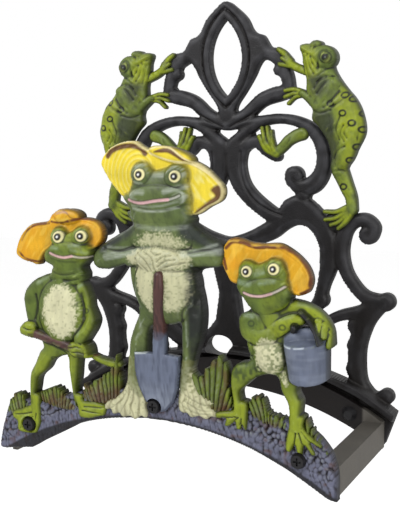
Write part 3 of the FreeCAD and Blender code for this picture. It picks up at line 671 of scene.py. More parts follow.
def field(relief, outline, height, foot=0.0, rounded=True):
    """Distance to an outline of readings. Where the outline faces the eye, its side wall was seen down
    to its foot, so the reading is one of the foot; elsewhere it is one of the rim."""
    points = np.array(outline, float)
    ahead, behind = np.roll(points, -1, 0), np.roll(points, 1, 0)
    turn = np.sign((points[:, 0] * ahead[:, 1] - ahead[:, 0] * points[:, 1]).sum())
    along = (ahead - behind) * turn / np.linalg.norm(ahead - behind, axis=1)[:, None]
    to_eye = EYE[[0, 2]] - points
    facing = (along[:, 1] * to_eye[:, 0] - along[:, 0] * to_eye[:, 1]) / np.linalg.norm(to_eye, axis=1)
    heights = foot + (height - foot) * np.clip(0.5 - 2 * facing, 0, 1)
    return relief.patch(along_sight(points, heights, relief.back, relief.read), rounded)


def lump(relief, x, z, half_x, half_z, rim, rise, colour, tilt=0.0, soft=4.0, skin=1.0):
    """Oval swelling that melts into what is there."""
    distance = relief.oval(*spot(relief, x, z, rim + rise * 0.6), half_x, half_z, tilt)
    relief.press(distance, rim, rise, 0.9 * min(half_x, half_z), colour, soft, skin)


def limb(relief, rows, colour, rise=0.7, soft=2.5, skin=1.0, draft=DRAFT, within=-FAR):
    """Round limb through readings, kept within an outline."""
    return relief.limb(lifted(relief, rows), colour, rise, soft, skin, draft, within)


def line(relief, points, half, height, width=0.7):
    """Mask of a painted line through readings."""
    rows = lifted(relief, [(x, z, half, height) for x, z in points])
    return inside(relief.ribbon(smooth_line(rows))[0], width)


def engrave(relief, lines, depth, half, height):
    """Engraved lines through readings."""
    for points in lines:
        rows = lifted(relief, [(x, z, 0, height) for x, z in points])
        relief.groove(relief.ribbon(smooth_line(rows))[0], depth, half)


def eye(relief, x, z, radius, height):
    """Painted eye: dark outline, cream ring, black pupil and a white glint."""
    at_x, at_z = spot(relief, x, z, height)
    for share, aside, colour in EYE_COATS:
        disc = relief.oval(at_x - aside * radius, at_z, share * radius, share * radius)
        relief.tint(inside(disc), srgb(*colour))


def painted_mouth(relief, points, turn, half, gap, corner, lip_half, lip):
    """Dark gap along the whole mouth, a pale corner from the turn on and a pink lip up to it."""
    relief.tint(line(relief, points, half, MOUTH_LEVEL, 1.4), srgb(*gap))
    relief.tint(line(relief, points[turn:], 0.7, MOUTH_LEVEL), srgb(*corner))
    relief.tint(line(relief, points[:turn + 1], lip_half, MOUTH_LEVEL), srgb(*lip))


def straw_hat(relief, outline, colour, lip, wide):
    """Low rounded hat with a raised lip of that height and width. Returns the distance to it."""
    distance = field(relief, outline, 5)
    relief.press(distance, 4, 5.0, 5, colour, skin=0.0)
    relief.high += lip * inside(distance + 0.2) * (1 - inside(distance + wide, 1.2))
    return distance


print("helpers for the figures are ready")

# %% [markdown]
# The painter works in the same order on every frog: an uneven green coat, cream belly, then a thin
# dark wash that stays in the lines and along the edges, and at last a nearly dry brush that leaves
# pale strokes on what stands out. The dark in the lines and along the edges is partly that wash and
# partly painted shade; the pale strokes are partly dry brush and partly painted highlight.

# %% Coats of paint
def coat(relief, light, dark, seed):
    """Uneven green: broad light patches, smaller dark ones and fine dark streaks."""
    x, z = relief.x, relief.z
    relief.tint(relief.skin * 0.6 * np.clip(mottle(x, z, 13, seed) * 2 - 0.7, 0, 1), light)
    relief.tint(relief.skin * 0.55 * np.clip(mottle(x, z, 6, seed + 1) * 2 - 1, 0, 1), dark)
    streaks = np.clip(mottle(x + 0.5 * z, 0.6 * z, 1.5, seed + 2) * 2.6 - 1.5, 0, 1)
    relief.tint(relief.skin * 0.4 * streaks, dark)


def cream(relief, distance, reach, colour, seed, spare=0.0):
    """Stippled cream: the denser the further inside the outline, over that reach."""
    x, z = relief.x, relief.z
    dots = 0.6 * mottle(x, z, 1.0, seed) + 0.4 * mottle(x, z, 2.2, seed + 1)
    full = np.clip((0.35 * reach - distance) / reach, 0, 1)
    relief.tint(np.clip((full - 0.75 * dots) * 2.6, 0, 0.93) * (1 - spare), colour)


def shade_and_highlight_wash(relief, dark, pale, seed, spare):
    """Dark wash in crevices and along the outline, partly paint and partly painted shade; pale
    strokes on ridges, partly dry brush and partly painted highlight.
    """
    x, z = relief.x, relief.z
    fine, broad = relief.hollow(1.0), relief.hollow(3.2)
    depth = np.clip(fine / 0.45 - 0.08, 0, 1) + 0.7 * np.clip(broad / 1.8 - 0.12, 0, 1)
    relief.tint(np.clip(depth, 0, 0.9) * (1 - spare), dark)
    relief.tint(0.75 * np.clip(1 + relief.edge / 1.8, 0, 1) * (1 - spare), dark)
    strokes = np.clip(mottle(0.6 * x - z, 0.4 * x, 1.6, seed) * 2 - 0.6, 0, 1)
    ridges = np.clip(-fine / 0.5 - 0.25, 0, 0.6) * np.clip(-relief.edge / 3 - 0.8, 0, 1)
    relief.tint(ridges * strokes * (1 - spare), pale)


def rings(relief, spots, height, radius=1.7, colour=(32, 46, 22), strength=0.7):
    """Dark rings painted on the skin."""
    for at_x, at_z in spots:
        ring = np.abs(relief.oval(*spot(relief, at_x, at_z, height), radius, 0.85 * radius)) - 0.3 * radius
        relief.tint(strength * inside(ring, 0.8), srgb(*colour))


def pale_strokes(relief, strokes, width, colour, seed, spare=0.0):
    """Pale strokes along lines, partly dry brush and partly painted highlight, each given by its
    points and half width.
    """
    streaks = 0.5 * (0.4 + 0.6 * mottle(relief.x, 2 * relief.z, 1.5, seed))
    for points, half in strokes:
        relief.tint(streaks * line(relief, points, half, 15, width) * (1 - spare), srgb(*colour))


print("coats of paint are ready")

# %% [markdown]
# ## The climbing frogs
# A frog clings to each side of the plate, cast in one with it: head, back and one thigh seen from the
# side, with the far leg reaching through the scroll. It is a relief of its own that stands on the
# plate's face. The left one is the mirror image of the right one.

# %% Climbing frog: forms
MOSS, MOSS_LIGHT, MOSS_DARK = srgb(112, 128, 54), srgb(152, 166, 38), srgb(72, 80, 56)
CLIMBER = (
    (64, 304.5), (65.5, 307), (69, 307.6), (72.6, 307.6), (74.6, 309.2), (77.4, 309.7), (80.4, 308.8),
    (82.4, 305.8), (86.5, 304.6), (90.5, 302.8), (93.2, 299), (94, 294), (94, 288.6), (96.2, 283.4),
    (100, 277.6), (105, 271.2), (110, 265.4), (114, 258.4), (116.6, 250.6), (117.9, 243), (117, 237),
    (113.4, 229.8), (109, 221.6), (105.2, 214.6), (103, 210), (98.5, 207), (91.5, 207.6), (89, 214),
    (89.4, 222), (87.4, 231), (84, 238), (79, 245), (74, 250.6), (74.4, 257), (72, 264), (69.6, 272),
    (69.6, 280), (68, 288), (66.6, 293), (66, 299),
)
climber = Relief(20, 124, 160, 316, 0.45, PLATE_BACK, READ_CLIMBER)
limb(climber, [(66.6, 239.4, 5.2, 2), (62, 238, 5.0, 2), (56, 234.6, 4.4, 3), (50, 229, 4.1, 3),
               (45, 225, 4.0, 3)], MOSS)
for rows in (
    [(45, 224.6, 3.4, 4), (37, 228.6, 2.9, 4), (31, 238, 1.9, 4)],
    [(43, 227, 2.5, 5), (36.5, 233, 2.2, 5), (33.4, 244.4, 1.7, 4)],
    [(43, 229, 2.3, 5), (39.4, 236, 2.1, 5), (37.6, 245, 1.6, 4)],
    [(43, 231, 1.8, 4), (41.8, 236, 1.6, 4), (41.2, 242, 1.4, 4)],
    [(71, 286.6, 3.6, 4), (62, 290, 3.2, 4), (56, 294, 3.0, 4)], [(57, 291.6, 2.2, 4), (48.6, 293, 1.8, 4)],
    [(57, 295, 2.7, 4), (52, 301, 2.4, 4), (47.4, 304.4, 1.9, 4)],
    [(56.4, 293.4, 2.0, 5), (50.4, 297.6, 1.6, 5)],
):
    limb(climber, rows, MOSS_LIGHT, soft=0.8, draft=8)
climber.press(field(climber, CLIMBER, 7), 4.5, 8.5, 13, MOSS, 1.5)
lump(climber, 100, 250, 11, 20, 7, 7, MOSS, tilt=8, soft=6)
lump(climber, 101, 227, 7, 15, 8, 6, MOSS, tilt=-20, soft=4)
lump(climber, 83, 297, 10, 9, 8, 6, MOSS, tilt=-20, soft=4)
lump(climber, 77.4, 306.6, 4.6, 3.2, 7, 4, MOSS, soft=1.5)
lump(climber, 85, 296.8, 5.4, 5, 12, 3, MOSS, soft=1.5)
limb(climber, [(97, 211, 6.2, 5), (101.6, 200, 5.3, 5), (105.4, 191, 4.6, 4.5), (106.4, 182, 4.4, 4.5)],
     MOSS, soft=2)
for rows in ([(105.6, 181, 3.6, 5), (101, 172.6, 2.4, 5), (95.4, 167.4, 1.6, 4)],
             [(104.6, 181, 3, 5), (96.6, 173, 2.0, 5), (89.4, 169.8, 1.5, 4)],
             [(103.4, 182, 2.8, 5), (94, 175.6, 1.9, 5), (85, 173.8, 1.5, 4)],
             [(103, 183.4, 2.8, 5), (93.6, 180, 2.0, 5), (84.6, 180, 1.6, 4)],
             [(67, 271.4, 2.0, 5), (60, 273.6, 1.8, 4), (52.8, 272.8, 1.6, 4)],
             [(67, 270.4, 1.9, 5), (60, 270.4, 1.7, 4), (52.6, 268, 1.6, 4)],
             [(67, 269, 1.8, 5), (60.6, 267.4, 1.6, 4), (55.4, 262.8, 1.4, 4)]):
    limb(climber, rows, MOSS_LIGHT, soft=0.8, draft=8)
limb(climber, [(90, 276, 6, 10), (85, 268, 5.2, 10), (79.6, 261, 4.4, 9), (73, 266, 3.6, 7),
               (67, 270.4, 2.8, 6)], MOSS, soft=1.5)
print("climber stands", round(float(climber.high.max()), 1), "mm out of the plate")

# %% [markdown]
# Deep wrinkles run round throat, neck and shoulder. The painter left the belly side dark, brushed the
# back and all limbs yellow-green and dotted the back with rings. Under the head the skin is darkened
# too, as painted shade.

# %% Climbing frog: wrinkles and paint
wrinkles = [
    ((65, 302), (70, 300.4), (76, 296.4), (80, 291)), ((67.6, 297.6), (69.4, 290), (71, 283)),
    ((70.4, 298), (73, 290), (76, 285)),
    ((73, 297), (76.4, 290.6), (79.6, 287)), ((79.6, 289.6), (80.6, 297), (84, 301.6), (89.6, 300)),
    ((80, 289), (86, 289.4), (91.4, 293)),
    ((80, 283), (86, 287.6), (93, 289)), ((79, 278.6), (84, 282.6), (91, 282)),
    ((76.6, 274), (80.4, 279.4), (86, 281.4)),
    ((79, 270), (84, 276), (91, 281.4)), ((84.6, 259), (90.4, 263.6), (96, 271)),
    ((91, 259.4), (97, 262.4), (101.6, 267)),
    ((97.6, 252), (94.6, 243), (97, 235)), ((100.6, 245), (98, 239), (101, 233.4)),
    ((104.6, 245), (101, 240.4), (103, 236)),
    ((92, 221), (96, 227), (101, 229.6)), ((75.6, 256.6), (82, 255), (90, 257)),
    ((90, 210.6), (96, 211.6), (103, 210.4)),
]
engrave(climber, wrinkles, 0.9, 1.3, 10)
x, z = climber.x, climber.z
climber.high += climber.skin * (1.3 * mottle(x - 0.5 * z, 0.6 * z, 2.6, 16) * mottle(x, z, 9, 17) - 0.3)
coat(climber, MOSS_LIGHT, MOSS_DARK, 11)
back = area(climber, ((98, 273), (105, 268), (112, 258), (115, 246), (114, 236), (107, 222), (104, 212),
                      (99, 213), (101, 226), (97, 236), (95, 248), (94, 262)), 12)
face = area(climber, ((66, 304), (74, 305), (79, 300), (80, 290), (78, 284), (70, 284), (68, 292)), 8)
shade = area(climber, ((72, 284), (80, 284), (88, 279), (83, 268), (76, 271)), 9)
belly = area(climber,
             ((75, 254), (88, 257), (94, 250), (94, 238), (96, 230), (90, 214), (86, 230), (80, 243)), 8)
patchy = 0.45 + 0.55 * mottle(x, z, 3, 14)
# Dark over the belly side, which is its paint, and under the head, which is painted shade.
climber.tint(np.clip(inside(np.minimum(shade, belly), 6) * (0.6 + 0.5 * patchy), 0, 0.85), srgb(58, 64, 50))
climber.tint(0.9 * patchy * inside(np.minimum(back, face), 6), srgb(160, 172, 30))
climber.tint(0.5 * inside(area(climber, ((80, 303), (92, 302), (93, 288), (84, 286), (80, 292)), 10), 5),
             srgb(76, 94, 48))
rings(climber, ((99, 254.5), (106, 247), (113, 254), (113, 242), (109, 229), (100, 268), (106, 265),
                (89, 262), (98, 199), (104, 219)), 13, 2.4, (18, 22, 8), 1.0)
# Eye coats from the outside in; the small pale dot in the middle is a painted glint.
for radius, colour in ((4.4, (20, 24, 14)), (3.5, (74, 88, 44)), (2.7, (12, 14, 10)), (0.5, (110, 120, 110))):
    climber.tint(inside(climber.oval(*spot(climber, 85, 296.6, 14), 1.1 * radius, radius)), srgb(*colour))
shade_and_highlight_wash(climber, srgb(20, 24, 10), srgb(178, 190, 90), 13, 0.0)
shade_and_highlight_wash(climber, srgb(26, 30, 14), srgb(178, 190, 90), 15, 0.75)
for name, side in (("right_climber", 1), ("left_climber", -1)):
    twin = Relief(0, 1, 0, 1, climber.step)
    for label in ("x", "z", "high", "edge", "paint"):
        setattr(twin, label, getattr(climber, label)[::side])
    twin.x = side * twin.x
    cast(name, twin, PLATE_BACK, frog_paint, "back_plate", srgb(66, 74, 60))

# %% [markdown]
# ## The tall frog
# It stands in the middle with a shovel. Its outlines were read on the plane of the front plate.

# %% Tall frog: forms
LEMON, LEMON_PALE, LIP = srgb(240, 216, 60), srgb(248, 236, 140), srgb(251, 236, 172)
SCORCH = srgb(92, 54, 36)
OLIVE, OLIVE_DARK, OLIVE_LIGHT = srgb(86, 102, 54), srgb(52, 62, 38), srgb(114, 128, 72)
CREAM, NIGHT, PALE = srgb(210, 208, 168), srgb(28, 33, 35), srgb(194, 202, 188)
STEEL, STEEL_LIGHT, STEEL_DARK = srgb(106, 114, 134), srgb(140, 148, 164), srgb(66, 72, 90)
WOOD, WOOD_DARK = srgb(88, 58, 54), srgb(54, 34, 32)
TALL_HAT = (
    (-18, 196), (-27, 204), (-33, 212), (-37, 221), (-31, 230), (-20, 235), (-8, 235.5), (-2, 232.5),
    (3, 230), (10, 232), (22, 231), (32, 224.5), (45, 218), (54, 210), (58.5, 204), (57, 196.5),
    (48, 191.5), (35, 185.5), (20, 190), (0, 192),
)
TALL_BODY = (
    (-14, 188), (-14, 177.5), (-24.5, 171), (-34.5, 165.5), (-41, 161), (-45.5, 156), (-46.3, 150.5),
    (-43, 146.4), (-34, 145.8), (-24, 148.5), (-18, 150), (-16.8, 145), (-16, 138), (-13.3, 128),
    (-10, 121), (-9, 116), (-12, 109), (-15.5, 101), (-18, 93), (-19, 82), (-20.5, 72), (-18, 62),
    (-3, 58), (0, 80), (2, 104), (8, 111), (16, 112.6), (22.6, 112), (23.4, 100), (23, 84), (21, 66),
    (30, 64), (34.5, 80), (37.8, 92), (42.5, 105.5), (44, 119), (42.8, 130), (40.5, 140), (40, 148),
    (46, 150.3), (52, 151), (58, 154), (60, 163), (57, 168.5), (50, 171), (43.3, 175.5), (37.8, 180),
    (33, 186),
)
TALL_HEAD = (
    (-22.3, 197), (-17, 201), (-14.5, 208), (-14, 214), (-11, 219), (-6, 220.3), (-1, 218.3),
    (5.5, 215.5), (12, 217), (20, 219.3), (27, 216.5), (30.5, 210), (32.5, 202), (33.2, 195), (33, 188),
    (32, 181), (20, 176), (0, 176), (-14, 180), (-17.5, 189),
)
tall = Relief(-56, 68, 34, 238, 0.5)
tall_hat = straw_hat(tall, TALL_HAT, LEMON, 1.2, 2.4)
lump(tall, 16, 226, 17, 5, 9, 2.6, LEMON, tilt=-14, soft=2.5, skin=0.0)
tall_body = field(tall, TALL_BODY, 8)
tall.press(tall_body, 6, 7, 11, OLIVE, 2.0)
lump(tall, 9, 134, 24, 26, 9, 12, OLIVE, soft=7)
lump(tall, 8, 168, 24, 12, 8, 9, OLIVE, soft=6)
limb(tall, [(-4, 112, 10, 8), (-9, 100, 10, 7), (-11, 84, 8, 4), (-14, 68, 6, 4)], OLIVE, soft=4,
     within=tall_body)
limb(tall, [(31, 124, 9, 8), (33, 108, 8.5, 7), (31, 90, 7, 5), (27, 70, 5, 4)], OLIVE, soft=4,
     within=tall_body)
tall.press(field(tall, TALL_HEAD, 12, 8), 8, 8, 12, OLIVE, 5.0)
lump(tall, 6, 197, 22, 8, 13, 4.0, OLIVE, soft=6)
lump(tall, 9, 180, 22, 14, 9, 6, OLIVE, soft=8)
for at_x, at_z in ((-7.4, 213), (20.2, 211.8)):
    lump(tall, at_x, at_z, 7.6, 7.2, 11, 5.0, OLIVE, soft=7)
limb(tall, [(-10, 171, 7, 9), (-26, 164, 6.5, 8), (-40, 157, 5.5, 7)], OLIVE, soft=3, within=tall_body)
limb(tall, [(30, 173, 7, 9), (44, 168, 6.5, 8), (56, 163, 6, 7)], OLIVE, soft=3, within=tall_body)
limb(tall, [(-41, 151.5, 5.5, 7), (-27, 153.5, 6.2, 9), (-10, 156, 6, 13), (2, 155, 5.5, 15)], OLIVE,
     soft=2.5, within=tall_body)
limb(tall, [(57, 158, 6, 7), (44, 157, 6.4, 9), (24, 155.5, 6, 13), (12, 155, 5.5, 15)], OLIVE, soft=2.5,
     within=tall_body)
lump(tall, 4, 153.5, 17, 8.5, 16, 4.5, OLIVE, soft=3)
print("tall frog stands", round(float(tall.high.max()), 1), "mm out of its back")

# %% [markdown]
# The feet are broad webbed fans that stand out over the ground, and the toes are only engraved.
# A screw goes through the plate between them, so there is a flat round seat.

# %% Tall frog: feet and engraved lines
LEFT_FOOT = ((-19.5, 84), (-20.5, 70), (-24, 60), (-30, 53.5), (-37, 50.2), (-41, 46), (-40.6, 42.8),
             (-36, 43.4), (-34, 40.2), (-29, 41.2), (-26, 38.8), (-20, 40), (-16, 38.2), (-11, 41),
             (-6, 40.8), (-3, 46), (-4, 58), (-8, 70), (-12, 84))
RIGHT_FOOT = ((22.5, 84), (20.4, 66), (19, 54), (20.6, 48), (26, 47), (29, 44.6), (35, 46), (40, 44.4),
              (44, 46.6), (49.4, 47.6), (50, 51.6), (46.6, 54.6), (48, 58), (43.5, 60.4), (38.5, 63),
              (34, 69.5), (31, 84))
for outline in (LEFT_FOOT, RIGHT_FOOT):
    tall.press(field(tall, outline, 10, 6), 8.2, 3.0, 6, CREAM, 4.0, skin=0.0)
toes = [((-35, 44.5), (-28, 50), (-22, 58)), ((-28, 41.5), (-24, 48), (-19, 58)),
        ((-20, 41.5), (-18, 50), (-16, 60)), ((-12, 42.5), (-12, 50), (-13, 58)),
        ((46, 54), (36, 55), (25, 60)), ((48, 50.5), (36, 50.5), (24, 56)),
        ((41, 47.5), (32, 48), (22.5, 52.5))]
engrave(tall, toes, 0.6, 0.7, 11)
fingers = [((-14, 153.5), (-9, 149.6), (-4, 145.6)), ((-12, 157.5), (-5, 153), (-0.5, 146)),
           ((-7, 159), (0, 155), (2.2, 147)), ((-1, 159.5), (3, 157), (7, 157.8)),
           ((4.6, 152.5), (9, 155.8), (15, 157)), ((5, 149), (11, 153), (18, 154)),
           ((10, 148.6), (16, 150.4), (24, 152))]
engrave(tall, fingers, 1.0, 0.8, 20)
creases = [((40, 149.5), (28, 147.4), (12, 147.6)), ((-38, 160.5), (-24, 159), (-12, 161.5)),
           ((52, 163.5), (40, 161.5), (30, 159.5)), ((34, 152), (36, 134), (34, 118)),
           ((24, 113), (26, 120), (31, 127))]
engrave(tall, creases, 1.0, 1.5, 12)
tall_mouth = ((-18, 195), (-13, 193.6), (-6, 193), (4.3, 194.6), (14.5, 195.6), (19.5, 197), (22.6, 198.4))
engrave(tall, [tall_mouth], 0.6, 1.2, MOUTH_LEVEL)
tall.sink(0, SCREW_CROWN, 6.4, 8.5)
print("engraved", len(toes) + len(fingers) + len(creases), "lines")

# %% Tall frog: skin paint
x, z = tall.x, tall.z
coat(tall, OLIVE_LIGHT, OLIVE_DARK, 21)
feet = np.minimum(area(tall, LEFT_FOOT, 11), area(tall, RIGHT_FOOT, 11))
# Near-black over the right flank is painted shade on the side turned from the light; over the shoulders it is
# their dark paint.
shaded_flank = 1.5 * np.clip((x - 28) / 5, 0, 1) * np.clip((152 - z) / 4, 0, 1) * np.clip((z - 78) / 12, 0, 1)
shoulders = line(tall, ((-40, 161.5), (-30, 167), (-17, 174)), 4.5, 12, 4)
shoulders += line(tall, ((30, 175), (41, 171), (54, 165)), 6.5, 12, 4)
tall.tint(tall.skin * 0.9 * np.clip(shaded_flank + shoulders, 0, 1) * np.clip(0.55 + mottle(x, z, 4, 27), 0, 1),
          NIGHT)
hands = tall.oval(*spot(tall, 4, 154, 19), 26, 9.2)
cream(tall, hands, 6, CREAM, 31)
CHEST = ((-12, 161), (-11, 169), (-3, 173), (8, 174), (19, 172.5), (27, 168), (28, 161))
LEFT_BELLY = ((-15, 148), (-14, 136), (-10, 125), (-4, 118), (1.5, 118), (2, 148))
RIGHT_BELLY = ((9, 149), (18, 149), (28, 146), (30, 134), (27, 123), (20, 117.5), (10, 119), (8.5, 130))
cream(tall, area(tall, CHEST, 17), 11.5, CREAM, 33, 0.1)
cream(tall, area(tall, LEFT_BELLY, 19), 4.5, CREAM, 35)
cream(tall, area(tall, RIGHT_BELLY, 19), 9, CREAM, 37)
stubble = np.clip(mottle(0.8 * x, z, 1.3, 39) * 3 - 1.9, 0, 1)
tall.tint(0.5 * stubble * inside(tall.oval(*spot(tall, 10, 144, 17), 24, 32), 6), srgb(112, 120, 78))
speckle = np.clip(3 * mottle(x, z, 1.4, 41) - 1.9 + np.clip((z - 52) / 30, -0.4, 1.1), 0, 1)
tall.tint(inside(feet) * speckle * (0.5 + 0.5 * np.clip((z - 60) / 20, 0, 1)), srgb(118, 122, 74))
streaks = np.clip(np.sin(np.arctan2(z - 86, np.abs(x - 4) - 19) * 46 + 5 * mottle(x, z, 6, 42)) - 0.2, 0, 1)
tall.tint(inside(feet) * 0.55 * streaks * np.clip((70 - z) / 10, 0, 1), srgb(104, 92, 58))
rings(tall, ((37, 137), (40, 113), (38, 104), (36, 126)), 11, 2.0, (16, 18, 18))
print("painted the skin of the tall frog")

# %% Tall frog: face and hat
# Pale strokes on face, throat, arms and legs: partly dry brush, partly painted highlight.
for points, half, strength in (
    (((-16, 199), (-10, 200.6), (-5, 200.4)), 1.8, 0.5), (((12, 201), (19, 203), (26, 204.4)), 1.7, 0.55),
    (((2.4, 212.6), (9, 212)), 1.6, 0.55), (((-13, 207), (-6, 206)), 0.9, 0.5),
    (((-11, 218), (-5, 219.3)), 0.9, 0.5),
    (((-14, 189), (-4, 187.6), (10, 188), (22, 190.6)), 0.7, 0.8),
    (((-12, 177), (8, 175.4), (26, 177)), 1.6, 0.3),
    (((-15, 191.4), (-5, 190.4), (10, 191.4), (22, 194.4)), 0.5, 0.55),
    (((-37, 160.6), (-20, 161), (0, 162.4)), 0.7, 0.55), (((32, 160), (40, 162.6), (48, 165.4)), 0.8, 0.6),
    (((-38, 154), (-26, 156.4), (-14, 159)), 2.6, 0.55), (((50, 160.5), (38, 160), (25, 158.4)), 2.4, 0.5),
    (((-38, 164.6), (-28, 169.5), (-18, 175.4)), 0.6, 0.5),
    (((-14, 114), (-10, 104), (-15, 96)), 0.7, 0.3), (((25, 111), (25, 98)), 0.7, 0.35),
):
    strokes = 0.45 + 0.55 * mottle(0.5 * x, 2.5 * z, 1.6, 43)
    tall.tint(strength * strokes * line(tall, points, half, 16, 1.8), PALE)
straw = inside(tall_hat) * (1 - tall.skin) * (z > 180)
curves = np.sin(np.hypot(x + 9, (z - 212) * 0.85) * 2 * math.pi / 3.0)
tall.tint(straw * (x < 2) * np.clip(curves, 0, 1) * 0.55, LEMON_PALE)
tall.high += straw * (x < 2) * 0.2 * curves
tall.tint(straw * (x > 24) * np.clip(mottle(x + 0.6 * z, 0.4 * z, 2.2, 45) * 2 - 0.9, 0, 0.8), LEMON_PALE)
burn = np.clip(0.75 + mottle(x, z, 3.5, 47), 0, 1)
LEFT_BURN = ((-32, 225.5), (-28, 229.5), (-20, 232), (-12, 232.3), (-6, 230.4), (-2.5, 227))
CROWN_BURN = (
    (5, 228), (10, 230), (16, 230.8), (22, 229.6), (28, 226), (34, 221.4), (27, 221.8), (22, 224.4),
    (16, 227.4), (10, 227.6),
)
BRIM_BURN = (
    (47, 203), (54, 206), (57, 201), (56, 197), (47, 192.8), (36, 187), (36.6, 189), (45, 195), (50, 198.6),
)
patches = np.maximum.reduce([
    line(tall, LEFT_BURN, 1.7, 8, 1.6),
    inside(area(tall, CROWN_BURN, 9), 1.4),
    line(tall, ((33, 220.8), (42, 216.4), (50, 210.6), (54.6, 205)), 1.1, 8, 1.2),
    inside(area(tall, BRIM_BURN, 8), 2.2),
])
tall.tint(straw * np.clip(patches * burn * 1.2, 0, 0.96), SCORCH)
crown_line = ((0, 227.5), (8, 224.3), (18, 221.6), (30, 220.2), (40, 216), (48, 210.6), (52.5, 206))
tall.tint(straw * line(tall, crown_line, 0.8, 10), LIP)
tall.tint(straw * 0.95 * (1 - inside(tall_hat + 1.1)), LIP)
print("painted the face and the hat of the tall frog")

# %% Tall frog: wash and painted shade, mouth and eyes
shade_and_highlight_wash(tall, srgb(26, 29, 19), PALE, 53, np.clip(straw + 0.55 * inside(hands) + 0.6 * inside(feet), 0, 1))
# More painted shade on the right flank.
tall.tint(tall.skin * 0.7 * np.clip(shaded_flank, 0, 1) * np.clip(0.3 + mottle(x, z, 3, 54), 0, 1), srgb(24, 26, 22))
painted_mouth(tall, tall_mouth, 4, 1.3, (64, 66, 44), (176, 178, 164), 0.95, (220, 176, 178))
eye(tall, -7.6, 212.6, 4.0, 16)
eye(tall, 19.8, 211.4, 4.0, 16)
# Near-black of the castings' backs; the side walls fade into it from the painted front, partly the dark back
# paint and partly painted shade along the edges.
FRONT_EDGE = srgb(22, 21, 21)
cast("tall_frog", tall, FRONT_BACK, frog_paint, "front_plate", FRONT_EDGE)

# %% [markdown]
# The shovel stands free between the legs: only its grip, in the hands, and its blade touch the frog.
# It is a casting of its own here, with its back further out, so that the gap beside the handle stays
# open. The blade is painted steel, a little lighter at the tip, with a hole over the middle screw.

# %% Shovel
BLADE = ((-14.3, 87.6), (-14, 76), (-12, 63), (-8.4, 53), (-3.4, 46.4), (3, 44.6), (9, 47), (16, 54.4),
         (20, 65), (21.6, 76), (22, 87.4), (12, 88.4), (-2, 88.6))
SHOVEL_BACK = FRONT_BACK - 8.4
shovel = Relief(-24, 32, 40, 158, 0.4, back=SHOVEL_BACK)
blade = field(shovel, BLADE, 5, 2, rounded=False)
shovel.press(blade, 1.8 + 4.0 * np.clip((shovel.z - 50) / 22, 0, 1), 1.0, 4, STEEL, 0.8, skin=0.0, draft=12)
handle = limb(shovel, [(5.5, 142.6, 3.2, 13), (5.4, 132, 3.8, 13), (5.4, 116, 4.0, 9.6),
                       (5.4, 101, 4.2, 5)], WOOD, soft=0.8, skin=0.0)
socket = limb(shovel, [(5.4, 103, 4.5, 5), (5.2, 93, 4.9, 5), (4.6, 80, 4.2, 5.2), (4, 66, 2.6, 3.6)],
              STEEL, 0.6, 1.5, skin=0.0)
shovel.edge = np.maximum(shovel.edge, -shovel.oval(0.6, 49.8, 6.0, 6.0))
x, z = shovel.x, shovel.z
shovel.tint(inside(handle, 0.6) * (z > 101)
            * np.clip(mottle(2.5 * x, 0.5 * z, 3, 49) * 1.8 - 0.6, 0, 0.7), WOOD_DARK)
shovel.tint(inside(blade + 1) * np.clip((70 - z) / 16, 0, 0.85) * (0.5 + 0.5 * mottle(x, z, 3, 51)),
            STEEL_LIGHT)
shovel.tint(inside(blade) * (1 - inside(blade + 1.4)) * np.clip((86 - z) / 3, 0, 0.6), STEEL_DARK)
shovel.tint(inside(np.minimum(blade, socket)) * 0.5
            * np.clip(mottle(2 * x, 0.4 * z, 2.4, 52) * 2 - 0.9, 0, 1), STEEL_DARK)
# Painted highlight: thin pale lines along the upper edges of the blade.
shovel.tint(line(shovel, ((-15, 87), (-4, 88.4)), 0.6, 3)
            + line(shovel, ((11, 88.6), (24, 87.4)), 0.4, 5), srgb(186, 194, 196))
cast("shovel", shovel, SHOVEL_BACK, frog_paint, "front_plate", FRONT_EDGE)
print("shovel is", round(float(np.ptp(z[shovel.edge < 0]))), "mm long")

# %% [markdown]
# ## The left frog
# A smaller frog with an orange hat holds a hoe across its body.

# %% Left frog: forms
ORANGE, ORANGE_PALE, RUST = srgb(226, 170, 34), srgb(244, 202, 78), srgb(104, 52, 28)
LEAF, LEAF_LIGHT, LEAF_DARK = srgb(96, 114, 44), srgb(144, 158, 36), srgb(54, 68, 28)
LEFT_HAT = (
    (-89, 147.5), (-99, 147.8), (-106.5, 149.5), (-112.3, 154), (-110.5, 162.5), (-105.5, 170.5),
    (-98.5, 176), (-90, 177.8), (-83.5, 179), (-80, 183.5), (-74, 187.3), (-66, 188.2), (-60.5, 186),
    (-56.5, 182.8), (-46, 182), (-38.5, 179.4), (-34.3, 174), (-34.8, 167), (-39, 162), (-45.5, 159.2),
    (-50.5, 161.5), (-66, 164), (-82, 157),
)
LEFT_HEAD = (
    (-88, 157), (-83, 161.5), (-82, 168), (-80, 172), (-76, 173.3), (-71.5, 171), (-68, 170),
    (-64, 171.5), (-58, 173.7), (-53, 171.5), (-51, 166), (-47.3, 160), (-47.4, 156), (-50, 151.5),
    (-54.5, 146.5), (-53, 140), (-68, 136), (-83, 141), (-82, 145.5), (-87.6, 148.5), (-89.2, 153),
)
